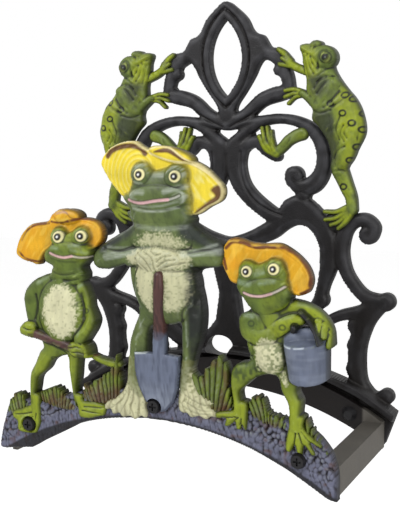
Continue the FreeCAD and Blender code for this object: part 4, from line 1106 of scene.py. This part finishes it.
LEFT_BODY = (
    (-76, 147), (-79, 142), (-88, 139.2), (-98, 134.4), (-104.5, 128.3), (-107.2, 121.7), (-106.5, 113),
    (-104.7, 106), (-102, 100), (-96, 95), (-91, 86), (-94.7, 80.5), (-99, 71.7), (-103.5, 64),
    (-104.7, 56), (-104.5, 40), (-96.5, 38), (-95.5, 46), (-93.5, 56), (-91.3, 64), (-84, 70.5),
    (-78.5, 78), (-70.5, 80), (-69, 69.5), (-67.4, 56), (-65, 46), (-58, 45), (-58.5, 58), (-57, 68),
    (-55.5, 80), (-52, 86), (-50.5, 91), (-47, 96), (-42.4, 102.8), (-40.2, 109.5), (-42, 115),
    (-44, 119.5), (-44.8, 126), (-47, 131.7), (-50, 137), (-52.4, 141.7), (-54, 147),
)
left = Relief(-130, -14, 14, 192, 0.5)
left_hat = straw_hat(left, LEFT_HAT, ORANGE, 0.9, 2.2)
lump(left, -69, 182, 11, 5.5, 9, 3, ORANGE, soft=2, skin=0.0)
left_body = field(left, LEFT_BODY, 8)
left.press(left_body, 6, 6, 9, LEAF, 2.0)
lump(left, -77, 112, 19, 24, 8, 10, LEAF, soft=8)
lump(left, -70, 139, 15, 7, 8, 6, LEAF, soft=5)
limb(left, [(-86, 84, 8.5, 8), (-96, 68, 6, 8), (-99.5, 56, 4.6, 8), (-100, 40, 4.2, 9)], LEAF, soft=3.5,
     within=left_body)
limb(left, [(-64, 84, 7, 8), (-63.5, 70, 5.4, 8), (-62.5, 56, 4.4, 8), (-61, 45, 4, 9)], LEAF, soft=3.5,
     within=left_body)
limb(left, [(-95, 131, 6, 8), (-101.5, 122, 5.6, 8), (-102, 112, 5, 8), (-100.5, 103, 4.6, 9)], LEAF,
     soft=2, within=left_body)
limb(left, [(-54, 132, 7, 8), (-48.5, 120, 6, 8), (-46.5, 110, 6, 9), (-52, 101, 5.6, 11),
            (-60, 93, 4.6, 13)], LEAF, soft=2, within=left_body)
left.press(field(left, LEFT_HEAD, 12, 8), 10, 6, 9, LEAF, 4.0)
lump(left, -68, 156.5, 18, 6.5, 13.4, 3.2, LEAF, soft=5)
for at_x, at_z in ((-77.2, 167.3), (-58, 168.3)):
    lump(left, at_x, at_z, 6.2, 6, 12, 4, LEAF, soft=5)
for outline in (
    ((-105, 48), (-105.4, 40), (-113.5, 36), (-122, 32.6), (-122.8, 28), (-119, 25), (-118.6, 19),
     (-114, 16.8), (-106, 17), (-99.3, 19.8), (-96, 28), (-96, 40), (-96, 48)),
    ((-67, 51), (-64, 42), (-62.4, 35), (-55, 34.4), (-46, 37), (-39.6, 39.6), (-38.6, 45.8), (-46, 47.8),
     (-57, 48), (-58, 52)),
):
    left.press(field(left, outline, 11, 8), 9.6, 1.8, 4, LEAF_LIGHT, 2.0, draft=8)
hoe = limb(left, [(-101, 94.5, 3.1, 13), (-68, 86.3, 3.1, 14)], WOOD, soft=0.8, skin=0.0)
shaft = limb(left, [(-56, 83.4, 1.6, 8), (-43, 80.2, 1.2, 6)], srgb(112, 76, 42), soft=0.8, skin=0.0)
limb(left, [(-48, 80.6, 1.6, 6.5), (-40, 78.4, 2.4, 7), (-32, 77, 2.6, 7), (-27, 77.4, 2.2, 6)],
     srgb(104, 122, 56), soft=0.8)
for outline in (
    ((-100, 102.4), (-106, 103), (-110.4, 101.3), (-113.8, 97), (-112.4, 93), (-106, 91), (-100, 91.6),
     (-98.6, 97)),
    ((-70.4, 88.6), (-65, 91), (-58, 90.6), (-54, 87), (-53, 80.6), (-58, 78.6), (-66, 79.3), (-70.6, 83)),
):
    left.press(field(left, outline, 15, 13), 13, 3.4, 4, LEAF_LIGHT, 1.5, draft=8)
engrave(left,
        [((-69.5, 85.5), (-64, 86.6), (-56, 84.6)), ((-69, 82), (-63, 82.6), (-56, 81.4)),
         ((-112, 98), (-106, 96.4), (-101, 97)), ((-62, 89.6), (-59, 86.5), (-57, 87.5))], 1.0, 0.7, 17)
engrave(left, [((-97, 124), (-96, 116), (-98, 106)), ((-57, 127), (-56, 118), (-56, 110)),
               ((-84, 142.5), (-70, 140.4), (-53, 143)), ((-70, 136), (-60, 137.6), (-54, 140)),
               ((-82, 88), (-74, 82), (-70, 80))], 1.0, 1.4, 11)
engrave(left, [((-121, 30.4), (-113, 31.5), (-105, 33.4)), ((-116, 20), (-110, 27), (-104, 30)),
               ((-40, 43.6), (-50, 43.4), (-58, 43)), ((-44, 39), (-52, 39.4), (-60, 40)),
               ((-102, 19), (-102, 27), (-101, 33))], 0.9, 0.7, 11)
left_mouth = ((-84, 155.2), (-78, 153.2), (-72, 152.4), (-65, 153.6), (-58, 152.8), (-50, 153.2))
engrave(left, [left_mouth], 0.6, 1.1, MOUTH_LEVEL)
left.sink(-SCREW_X, float(arch(SCREW_CROWN, SCREW_X)), 5.8, SEAT_LEVEL)
print("left frog stands", round(float(left.high.max()), 1), "mm out of its back")

# %% Left frog: paint
def straw_paint(relief, form, bands, light, seed):
    """Orange straw: pale streaks, rust lines and a pale lip; returns the mask of the hat."""
    x, z = relief.x, relief.z
    straw = inside(form) * (1 - relief.skin) * (z > 128)
    relief.tint(straw * np.clip(mottle(x - 0.6 * z, 0.4 * z, 2.2, seed) * 1.8 - 0.9, 0, 0.55), ORANGE_PALE)
    relief.tint(straw * 0.5 * np.clip(mottle(x, z, 9, seed + 1) * 2 - 1, 0, 1), srgb(226, 152, 28))
    ragged = np.clip(0.35 + mottle(x, z, 2.6, seed + 2), 0, 1)
    for points in light:
        relief.tint(straw * 0.85 * line(relief, points, 1.1, 9, 1.2), ORANGE_PALE)
    for points, half in bands:
        relief.tint(straw * np.clip(line(relief, points, half, 9, 1.2) * ragged * 1.3, 0, 0.95), RUST)
    relief.tint(straw * 0.75 * (1 - inside(form + 0.7)), RUST)
    return straw


x, z = left.x, left.z
coat(left, LEAF_LIGHT, LEAF_DARK, 61)
left_rust = (
    (((-111, 155), (-106, 150.4), (-98, 148.8), (-89, 148.6)), 0.8),
    (((-108.6, 164), (-103, 171.6), (-96, 175.4), (-84, 177)), 0.7),
    (((-66, 186), (-60, 185), (-56, 182.6)), 1.0),
    (((-66, 179), (-56, 181), (-46, 180.4), (-40, 178), (-36.4, 173), (-37, 166), (-41, 162)), 0.9),
    (((-82, 178.4), (-74, 177.6), (-66, 179)), 0.6),
)
left_light = (
    ((-82, 179.6), (-74, 179.2), (-66, 180.6)), ((-76, 185.4), (-68, 186.6)),
    ((-56, 182.8), (-46, 181.8), (-38, 178.4)),
)
straw = straw_paint(left, left_hat, left_rust, left_light, 63)
left.tint(straw * 0.7 * line(left, ((-76, 184.6), (-70, 185.6), (-64, 184.6)), 0.9, 10, 1.2),
          srgb(196, 152, 140))
left.tint(left.skin * 0.7 * np.clip((104 - z) / 30, 0, 1) * np.clip(0.3 + mottle(x, z, 7, 67), 0, 1),
          LEAF_LIGHT)
# Painted shade: a dark strip along the right side of the right leg.
left.tint(left.skin * 0.8 * np.clip((x + 61) / 2.5, 0, 1) * inside(np.abs(z - 72) - 14, 6) * (x < -53),
          srgb(26, 30, 20))
tools = np.maximum(inside(hoe), inside(shaft))
cream(left, left.oval(*spot(left, -78, 112, 18), 16, 21), 10, srgb(224, 221, 182), 69, tools)
stubble = np.clip(mottle(x, z, 1.5, 71) * 3 - 2, 0, 1)
left.tint(0.6 * stubble * inside(left.oval(*spot(left, -78, 112, 16), 14, 18), 6), srgb(132, 134, 92))
rings(left, ((-47, 121), (-55, 114), (-46, 107), (-59, 119), (-60, 76), (-85, 76)), 13, 1.8)
left_strokes = (
    (((-82, 160), (-76, 159)), 1.0), (((-66, 161), (-58, 162)), 1.0), (((-98, 132), (-90, 137)), 1.2),
    (((-62, 131), (-54, 136)), 1.2), (((-64, 158.4), (-52, 156.4)), 0.8), (((-60, 103), (-62, 96)), 1.0),
)
pale_strokes(left, left_strokes, 2, (166, 186, 150), 73)
left.tint(inside(hoe) * np.clip(mottle(0.6 * x, 2.4 * z, 3, 75) * 1.8 - 0.6, 0, 0.7), WOOD_DARK)
shade_and_highlight_wash(left, srgb(26, 32, 14), srgb(172, 190, 110), 77, np.clip(0.9 * straw + 0.7 * tools, 0, 1))
painted_mouth(left, left_mouth, 3, 1.2, (60, 60, 34), (206, 200, 174), 0.85, (222, 182, 178))
eye(left, -77.2, 167.2, 4.1, 17)
eye(left, -58, 168.2, 3.9, 17)
cast("left_frog", left, FRONT_BACK, frog_paint, "front_plate", FRONT_EDGE)

# %% [markdown]
# ## The right frog
# This one carries a bucket in front of it. The bucket is round, so its height over the plate follows
# a circle. A black bail hangs over its rim.

# %% Right frog: forms
RIGHT_HAT = (
    (64, 140.5), (58, 147), (54.4, 155.5), (54.6, 162), (58, 168), (62.5, 171), (69.5, 171.4),
    (77, 169.2), (86, 168.4), (97, 168.8), (105, 165.2), (112, 160), (117.3, 153.5), (119.6, 146),
    (117.6, 139), (112, 135.6), (106.5, 135), (101, 139), (84, 142),
)
RIGHT_HEAD = (
    (64.2, 139.5), (65.8, 147), (67, 152), (70, 155.4), (75, 156), (81.5, 154.3), (86, 156), (91, 158.2),
    (97, 156.3), (101.3, 150), (101.5, 143), (104, 136), (101, 128), (90, 122), (79, 121), (73.6, 125),
    (68.8, 131.3), (66.3, 134),
)
RIGHT_BODY = (
    (81, 128), (73, 122.4), (68.6, 118), (66.6, 112.7), (68, 107), (71.3, 102.5), (72.4, 96),
    (74.4, 89.5), (68, 88), (62, 82.5), (59.8, 76), (59.6, 70), (62.2, 60), (62, 52), (70, 47), (72, 52),
    (71.5, 60), (70, 69), (73.4, 73.4), (80, 79), (88, 81.5), (94.5, 79.5), (97, 70.4), (101.3, 62.7),
    (102.4, 53.8), (102, 46), (111.5, 46), (112.4, 59.3), (113, 67), (110, 74), (112, 84), (110, 110),
    (108, 124), (100, 130),
)
right = Relief(42, 140, 22, 176, 0.45)
right_hat = straw_hat(right, RIGHT_HAT, ORANGE, 1.0, 2.6)
right_body = field(right, RIGHT_BODY, 8)
right.press(right_body, 6, 5, 8, LEAF, 2.0)
lump(right, 84, 107, 14, 20, 8, 7, LEAF, soft=5)
lump(right, 88, 92, 11, 12, 9, 9, LEAF, soft=4)
limb(right, [(82, 86, 8, 9), (70, 82, 7.5, 9), (66, 74, 5.6, 9), (66.5, 60, 4.6, 9), (67, 50, 4.2, 9)],
     LEAF, soft=3, within=right_body)
limb(right, [(98, 82, 9, 8), (104, 70, 6.2, 8), (107, 56, 5, 9), (107, 46, 4.6, 9)], LEAF, soft=3.5,
     within=right_body)
limb(right, [(98, 126.5, 6.2, 7), (112, 125, 5.6, 6), (122, 120.4, 5.2, 5), (127.6, 113, 4.4, 5),
             (128.6, 105, 3.8, 5)], LEAF_LIGHT, soft=1.5)
right.press(field(right, RIGHT_HEAD, 12, 8), 10, 6, 9, LEAF, 3.5)
lump(right, 83, 138, 16, 6, 13.4, 3.0, LEAF, tilt=10, soft=5)
for at_x, at_z in ((71.6, 149), (91.2, 151.6)):
    lump(right, at_x, at_z, 5.8, 5.6, 12, 4, LEAF, soft=5)
limb(right, [(73, 115.5, 6.6, 10), (74, 108.5, 6.2, 11), (80, 105.5, 5.6, 12), (88, 106.5, 5.4, 13)],
     LEAF, soft=1.8)
limb(right, [(86, 106.5, 5.2, 12), (95, 112.6, 5.2, 12), (103, 117.4, 4.4, 12), (109.6, 118.6, 3.2, 11)],
     LEAF_LIGHT, soft=1.5)
for outline in (
    ((62.5, 60), (61.5, 54), (54, 52.5), (48, 50), (48.4, 46.6), (55, 47), (54.5, 42), (58, 42.4),
     (62, 45.4), (63, 41), (66.4, 41), (67, 44), (69, 41.2), (71.4, 42), (72, 51), (71.6, 60)),
    ((102.2, 55), (101, 47), (99, 38), (98.6, 31), (101.6, 29.4), (105, 34.6), (107, 27.6), (110.4, 27.4),
     (111.4, 35), (116.6, 29.6), (120, 31), (116.6, 38), (122.6, 34.8), (124, 37.6), (118, 42), (112, 48),
     (112, 55)),
):
    right.press(field(right, outline, 11, 8), 9.6, 2.0, 4, LEAF_LIGHT, 2.0, draft=8)
engrave(right, [((49, 47.6), (57, 48), (63, 49)), ((56, 43), (61, 46), (65, 49)),
                ((64, 42), (66.4, 45), (67, 48)), ((103, 30.4), (105, 37), (106, 43)),
                ((112, 30), (110, 37), (108, 43)), ((121, 34.4), (115, 38.5), (110, 44)),
                ((118, 39.6), (114, 42), (110, 46))], 1.0, 0.7, 11)
engrave(right, [((77, 123), (82, 119), (86, 113)), ((69, 103), (74, 100.6), (78, 100)),
                ((74, 89), (76, 95), (75, 101)), ((79, 80), (77, 86), (76, 90)),
                ((101, 131), (106, 129.4), (112, 131))], 0.8, 1.3, 12)
right_mouth = ((69.6, 134.4), (75, 132.8), (82, 132.8), (89, 134.8), (94, 137.2), (97.6, 139.4))
engrave(right, [right_mouth], 0.6, 1.1, MOUTH_LEVEL)
print("right frog stands", round(float(right.high.max()), 1), "mm out of its back")

# %% Right frog: bucket
def bucket(relief):
    """Tapered round bucket: its height over the back follows half a circle across its width, and the
    near rim is the lower half of an oval. Returns distances to its front, its mouth and its lip."""
    (top_x, top_z), (low_x, low_z) = (112.2, 105.5), (114.2, 80.6)
    t = np.clip((relief.z - low_z) / (top_z - low_z), -0.3, 1.6)
    half = 12.8 + 2.2 * t
    u = (relief.x - low_x - t * (top_x - low_x)) / half
    bow = np.sqrt(np.clip(1 - u**2, 0, 1))
    tipped = 0.12 * (relief.x - top_x)
    front = np.maximum.reduce([(np.abs(u) - 1) * half, low_z - 2.6 * bow - relief.z,
                               relief.z - top_z - tipped + 2.4 * bow])
    mouth = np.maximum.reduce([(np.abs(u) - 1) * half, low_z - relief.z,
                               relief.z - top_z - tipped - 8.4 * bow])
    relief.press(mouth, 10, 2.5, 5, STEEL, 0.8, skin=0.0)
    relief.press(front, 6 + 16 * bow, 0.6, 1.2, STEEL, 0.6, skin=0.0)
    lip = np.abs(relief.z - top_z - tipped + 2.4 * bow + 0.6)
    return front, mouth, lip


pail, pail_mouth, pail_lip = bucket(right)
BAIL = srgb(18, 18, 20)
bail = limb(right, [(108.6, 123.4, 1.0, 14), (115, 117, 1.0, 14), (119, 110, 1.0, 16),
                    (121, 103, 1.1, 21)], BAIL, 0.7, 0.4, 0.0, draft=14)
ear = right.oval(*spot(right, 104.2, 112, 18), 2.1, 2.9)
right.press(ear, 17, 2, 2, BAIL, 0.4, skin=0.0, draft=14)
for rows in ([(121.4, 118, 2.6, 9), (121, 109.6, 1.9, 13)], [(125, 116, 2.4, 9), (124.4, 108.6, 1.9, 13)],
             [(129, 111, 2.4, 8), (128.6, 103, 2.0, 12)]):
    limb(right, rows, LEAF_LIGHT, soft=0.8)
right.sink(SCREW_X, float(arch(SCREW_CROWN, SCREW_X)), 5.8, SEAT_LEVEL)
print("bucket reaches", round(float(right.high.max()), 1), "mm")

# %% Right frog: paint
x, z = right.x, right.z
coat(right, LEAF_LIGHT, LEAF_DARK, 81)
metal = np.maximum(inside(np.minimum(pail, pail_mouth)) * (1 - right.skin),
                   np.maximum(inside(bail), inside(ear)))
right_rust = (
    (((57, 164), (62, 168), (70, 167.6), (78, 165.2), (88, 165.6), (98, 165), (106, 161.6), (112, 155.5),
      (116, 148), (115.6, 141)), 1.0),
    (((60, 169.6), (68, 170.3), (77, 168.2)), 0.7), (((118.6, 148), (117, 140), (110, 136.2)), 1.1),
    (((57, 150), (55.4, 157)), 0.9),
)
right_light = (
    ((60, 168.4), (70, 169.2), (78, 166.8), (90, 167), (100, 166.4), (109, 161.4), (116, 153)),
)
straw = straw_paint(right, right_hat, right_rust, right_light, 83)
right.tint(right.skin * 0.9 * np.clip((86 - z) / 22, 0, 1), LEAF_LIGHT)
right.tint(right.skin * 0.7 * inside(right.oval(*spot(right, 70, 81, 14), 11, 8), 6)
           * np.clip(mottle(x, z, 1.8, 87) * 2.2 - 0.6, 0, 1), srgb(44, 58, 34))
belly = np.minimum(right.oval(*spot(right, 86.4, 92, 17), 12, 13.4),
                   right.oval(*spot(right, 97, 79, 14), 3.4, 7, 20))
cream(right, belly, 8, srgb(222, 219, 180), 89, metal)
right.tint(0.85 * np.clip(mottle(x, z, 1.3, 91) * 3 - 1.1, 0, 1) * inside(belly + 1, 5)
           * np.clip((x - 81) / 12, 0, 1) * (1 - metal), srgb(104, 116, 70))
rings(right, ((74.6, 114), (79, 83), (97, 113), (108, 66)), 15, 2.0)
right_strokes = (
    (((66, 141.6), (74, 141)), 1.7), (((82, 141.4), (92, 143.6)), 1.0), (((69, 120.4), (75, 119)), 1.6),
    (((106, 128.8), (118, 126), (126, 120)), 1.0), (((78, 147), (84, 148.6)), 1.0),
    (((94, 118), (104, 121.6)), 0.8),
)
pale_strokes(right, right_strokes, 2.2, (166, 186, 160), 93, metal)
right.tint(inside(np.minimum(pail, pail_mouth)) * metal * 0.5
           * np.clip(mottle(0.5 * x, 1.6 * z, 3, 95) * 1.8 - 0.8, 0, 1), STEEL_LIGHT)
right.tint(0.5 * inside(pail_mouth) * (1 - inside(pail)) * metal * np.clip((x - 112) / 10, 0, 1), STEEL_DARK)
# Painted highlight: two pale streaks on the near rim of the bucket.
strokes = inside(np.abs(x - 103) - 3.6) + inside(np.abs(x - 112.4) - 3.6) * 0.9
right.tint(metal * strokes * inside(pail_lip - 0.5), srgb(196, 206, 216))
right.tint(np.maximum(inside(bail), inside(ear)) * (right.skin < 0.5), BAIL)
shade_and_highlight_wash(right, srgb(26, 32, 14), srgb(180, 196, 110), 97, np.clip(0.9 * straw + 0.8 * metal, 0, 1))
painted_mouth(right, right_mouth, 3, 1.2, (60, 60, 34), (206, 196, 182), 0.8, (222, 186, 184))
eye(right, 71.8, 148.8, 3.6, 16)
eye(right, 91.0, 151.2, 3.7, 16)
cast("right_frog", right, FRONT_BACK, frog_paint, "front_plate", FRONT_EDGE)

# %% [markdown]
# ## Ground, stones and grass
# The foot of the front plate is an arched strip of blue-grey stones. Tufts of grass stand on it: fused
# clumps with a ragged upper edge and engraved blades. The stones are small domes round scattered points
# with dark gaps, and along the lower edge they turn into a row of upright ticks.

# %% Ground strip
STONE, STONE_DARK, STONE_LIGHT = srgb(102, 104, 124), srgb(42, 38, 44), srgb(134, 138, 158)
EARTH = srgb(92, 58, 44)
GRASS, GRASS_LIGHT, GRASS_DARK = srgb(102, 118, 40), srgb(132, 146, 46), srgb(44, 48, 24)
GROUND = (
    (-134.7, 3.2), (-122, 4), (-110, 5.6), (-103, 7.6), (-93.5, 13.2), (-82, 19.2), (-69, 26),
    (-60, 30.8), (-46, 34.6), (-27, 38), (0, 40), (28, 38.2), (50, 34.4), (69, 29.3), (80, 25.4),
    (99, 17), (114.7, 8.4), (128, 0.8), (134.6, -0.2), (136.4, 4), (136.4, 20), (134.4, 29), (131.4, 36),
    (122, 46), (108, 52), (90, 56), (66, 58), (40, 62), (12, 64), (-20, 62), (-50, 58), (-70, 52),
    (-96, 46), (-118, 44), (-127, 35), (-130, 26), (-133, 17),
)


def cobbles(x, z, size, seed):
    """Distance, in sizes, to the nearest of scattered points, one in each square of a lattice."""
    u, v = x / size, z / size
    best = np.full_like(x, FAR)
    for a, b in ((a, b) for a in (-1, 0, 1) for b in (-1, 0, 1)):
        i, j = np.floor(u) + a, np.floor(v) + b
        at = np.sin(i * HASH_X + j * HASH_Z + seed) * HASH_SCALE
        best = np.minimum(best, np.hypot(u - i - at % 1, v - j - (at * 7.13) % 1))
    return best


ground = Relief(-138, 139, -2, 100, 0.5)
x, z = ground.x, ground.z
strip = field(ground, GROUND, 8)
ground.press(strip, 6.5, 1.6, 2.5, STONE, skin=0.0)
above = z - arch(40, x.clip(-200, 200))
low_band = np.clip((11 - above) / 4, 0, 1)
warp = 2.4 * mottle(x, z, 5, 101)
stones = np.clip(1.45 - 1.75 * cobbles(x + warp, 0.85 * z + warp, 2.7, 103), 0, 1)
wavy = x + 0.25 * z + 6 * mottle(x, 0.3 * z, 7, 105)
ticks = np.abs(np.sin(math.pi * wavy / 3.6)) * 0.7 + 0.6 * mottle(x, 0.3 * z, 2.4, 106)
stones += low_band * 0.6 * (np.clip(1.6 * ticks, 0, 1) - stones)
ground.high += np.where(strip < -0.8, 2.0 * (np.sqrt(stones) - 1) + 1.4 * mottle(x, z, 9, 107), 0)
# Dark gaps between the stones, partly their paint and partly painted shade.
ground.tint(np.clip(1.3 * (1 - stones) - 0.15, 0, 0.9), STONE_DARK)
# Painted highlight: paler middles of the stones.
ground.tint(0.5 * np.clip(stones - 0.5, 0, 1) * np.clip(mottle(x, z, 2.4, 109) * 2 - 0.6, 0, 1), STONE_LIGHT)
ground.tint(0.7 * np.clip(mottle(x, z, 3.5, 111) * 2.6 - 1.7, 0, 1), EARTH)
print("ground strip covers", round(float((strip < 0).sum()) * ground.step**2 / 100), "cm2")

# %% Grass
TUFTS = (
    ((-128, 30), (-127, 40), (-121, 51), (-116, 50), (-112, 49), (-106, 56), (-103, 47), (-103, 30)),
    ((-96, 42), (-96, 55), (-88, 55.5), (-82, 57), (-77, 59.5), (-70, 57), (-66.5, 52), (-66, 40)),
    ((-59, 48), (-59, 60), (-52, 62), (-46, 67), (-38, 72), (-33.5, 78), (-32, 89), (-27, 91), (-22, 86),
     (-20.5, 66), (-24, 54), (-36, 47)),
    ((30, 60), (29, 72), (33, 78), (37, 76), (40, 90), (45, 84), (50, 91), (54, 94), (61, 88), (64, 74),
     (66, 58), (48, 50)),
    ((72, 52), (73, 64), (79, 66), (83, 71.5), (88, 66), (91, 60.5), (96, 57), (101, 57), (103, 46),
     (88, 44)),
    ((110, 46), (112, 56), (115.5, 58.4), (119, 54), (123, 48.6), (128, 40), (131.5, 34), (124, 32)),
)
grass, phase = np.full_like(x, FAR), np.zeros_like(x)
for number, outline in enumerate(TUFTS):
    tuft = field(ground, outline, 10)
    middle_x, low_z = np.mean(outline, 0)[0], np.min(outline, 0)[1] - 35
    fan = np.arctan2(x - middle_x, z - low_z) * 52 / 3.5 + 9 * number
    phase = np.where(tuft < grass, fan, phase)
    grass = np.minimum(grass, tuft)
phase += 1.3 * mottle(0.2 * x, 0.06 * z, 1.5, 115) + 0.3 * mottle(x, z, 8, 116)
blade_ridge = np.abs(np.sin(math.pi * phase))
tone = np.sin(np.floor(phase) * HASH_BLADE) * HASH_SCALE % 1
ragged = grass + (2.2 * (1 - blade_ridge) + 2.4 * tone) * np.clip((above - 12) / 14, 0, 1)
ground.press(ragged, 8.0, 1.4, 2.0, GRASS, 1.0)
on_grass = ground.skin
ground.high += on_grass * 1.5 * (blade_ridge - 0.7)
# Lighter ridges on some blades: their own tone and a painted highlight.
ground.tint(on_grass * 0.75 * np.clip(2.2 * tone - 1, 0, 1) * np.clip(blade_ridge, 0, 1), GRASS_LIGHT)
# Painted shade between the blades.
ground.tint(on_grass * np.clip(1.0 - 2.2 * blade_ridge, 0, 0.85), GRASS_DARK)
root = np.clip((8 - np.abs(grass + 3) + 6 * mottle(x, z, 4, 117)) / 10, 0, 1)
root *= np.clip((26 - above) / 8, 0, 1)
ground.tint(on_grass * np.clip(root * (0.4 + tone), 0, 0.85), EARTH)
ground.tint(on_grass * 0.65 * np.clip(mottle(0.4 * x, 0.2 * z, 1.3, 119) * 3 - 1.6, 0, 1), EARTH)
for at_x in (-SCREW_X, 0, SCREW_X):
    at_z = float(arch(SCREW_CROWN, at_x))
    ground.sink(at_x, at_z, 6.6, SEAT_LEVEL)
    ground.edge = np.maximum(ground.edge, -ground.oval(at_x, at_z, 2.8, 2.8))
shade_and_highlight_wash(ground, srgb(26, 22, 20), srgb(140, 146, 128), 121, 0.35)
ground.tint(0.9 * np.clip((2.2 - above) / 1.6, 0, 1), FRONT_EDGE)
cast("ground_strip", ground, FRONT_BACK, frog_paint, "front_plate", FRONT_EDGE)

# %% [markdown]
# ## Camera, light and white surroundings
# The camera stands where the photograph was taken from: its place, turn and lens follow from mirror
# pairs on the two plates. Two soft lamps, from the upper left and from the right, keep colours about
# as they are written. Camera, mirror and glass rays see plain white, other rays a calmer world.

# %% Camera
YAW, PITCH, ROLL = (math.radians(a) for a in (25.765, 6.56, -0.77))
LENS = 68.55
back = np.array([math.sin(YAW) * math.cos(PITCH), -math.cos(YAW) * math.cos(PITCH), math.sin(PITCH)])
level = np.array([math.cos(YAW), math.sin(YAW), 0.0])
upright = np.cross(back, level)
turned_x = math.cos(ROLL) * level + math.sin(ROLL) * upright
turned_z = math.cos(ROLL) * upright - math.sin(ROLL) * level
camera = bpy.data.objects.new("camera", bpy.data.cameras.new("camera"))
camera.data.lens, camera.data.sensor_width = LENS, 36.0
pose = np.eye(4)
pose[:3] = np.column_stack([turned_x, turned_z, back, metres(*EYE)])
camera.matrix_world = Matrix(pose.tolist())
bpy.context.scene.collection.objects.link(camera)
bpy.context.scene.camera = camera
print("camera at", [round(v, 3) for v in camera.location])

# %% Lamps, world and floor
def lamp(name, place, target, width, watts):
    """Square soft lamp that faces a target."""
    light = bpy.data.lights.new(name, "AREA")
    light.size, light.energy = width, watts
    item = bpy.data.objects.new(name, light)
    away = np.array(place, float) - target
    away /= np.linalg.norm(away)
    side = np.cross((0, 0, 1), away)
    side /= np.linalg.norm(side)
    aim = np.column_stack([side, np.cross(away, side), away, place])
    item.matrix_world = Matrix(np.vstack([aim, (0, 0, 0, 1)]).tolist())
    bpy.context.scene.collection.objects.link(item)


middle = np.array([0.0, -0.08, 0.05])
lamp("key", (-0.7, -1.3, 1.2), middle, 0.9, 16)
lamp("fill", (1.2, -1.1, 0.5), middle, 1.0, 8.5)
world = bpy.data.worlds.new("studio")
bpy.context.scene.world = world
world.use_nodes = True
tree = world.node_tree
rays = add(tree, "ShaderNodeLightPath")
seen = add(tree, "ShaderNodeMath",
           [(0, rays.outputs["Is Camera Ray"]), (1, rays.outputs["Is Glossy Ray"])], operation="MAXIMUM")
seen = add(tree, "ShaderNodeMath", [(0, seen.outputs[0]), (1, rays.outputs["Is Transmission Ray"])],
           operation="MAXIMUM")
glow = add(tree, "ShaderNodeMapRange", [("Value", seen.outputs[0]), ("To Min", 0.37), ("To Max", 1.0)])
tree.links.new(glow.outputs["Result"], tree.nodes["Background"].inputs["Strength"])
tree.nodes["Background"].inputs["Color"].default_value = (1, 1, 1, 1)
bpy.context.scene.view_settings.view_transform = "Standard"

floor_mesh = bpy.data.meshes.new("floor")
corners = np.array([(-4, -4), (4, -4), (4, 4), (-4, 4)], float)
floor_mesh.from_pydata(np.column_stack([corners, np.full(4, -0.42)]).tolist(), [], [(0, 1, 2, 3)])
floor = bpy.data.objects.new("floor", floor_mesh)
bpy.context.scene.collection.objects.link(floor)
white = bpy.data.materials.new("white_floor")
white.use_nodes = True
shader = white.node_tree.nodes["Principled BSDF"]
shader.inputs["Base Color"].default_value = (0.9, 0.9, 0.9, 1)
shader.inputs["Roughness"].default_value = 0.9
shader.inputs["Emission Color"].default_value = (1, 1, 1, 1)
rays = add(white.node_tree, "ShaderNodeLightPath")
shown = add(white.node_tree, "ShaderNodeMath", [(0, rays.outputs["Is Camera Ray"]), (1, 0.6)],
            operation="MULTIPLY")
white.node_tree.links.new(shown.outputs[0], shader.inputs["Emission Strength"])
floor_mesh.materials.append(white)
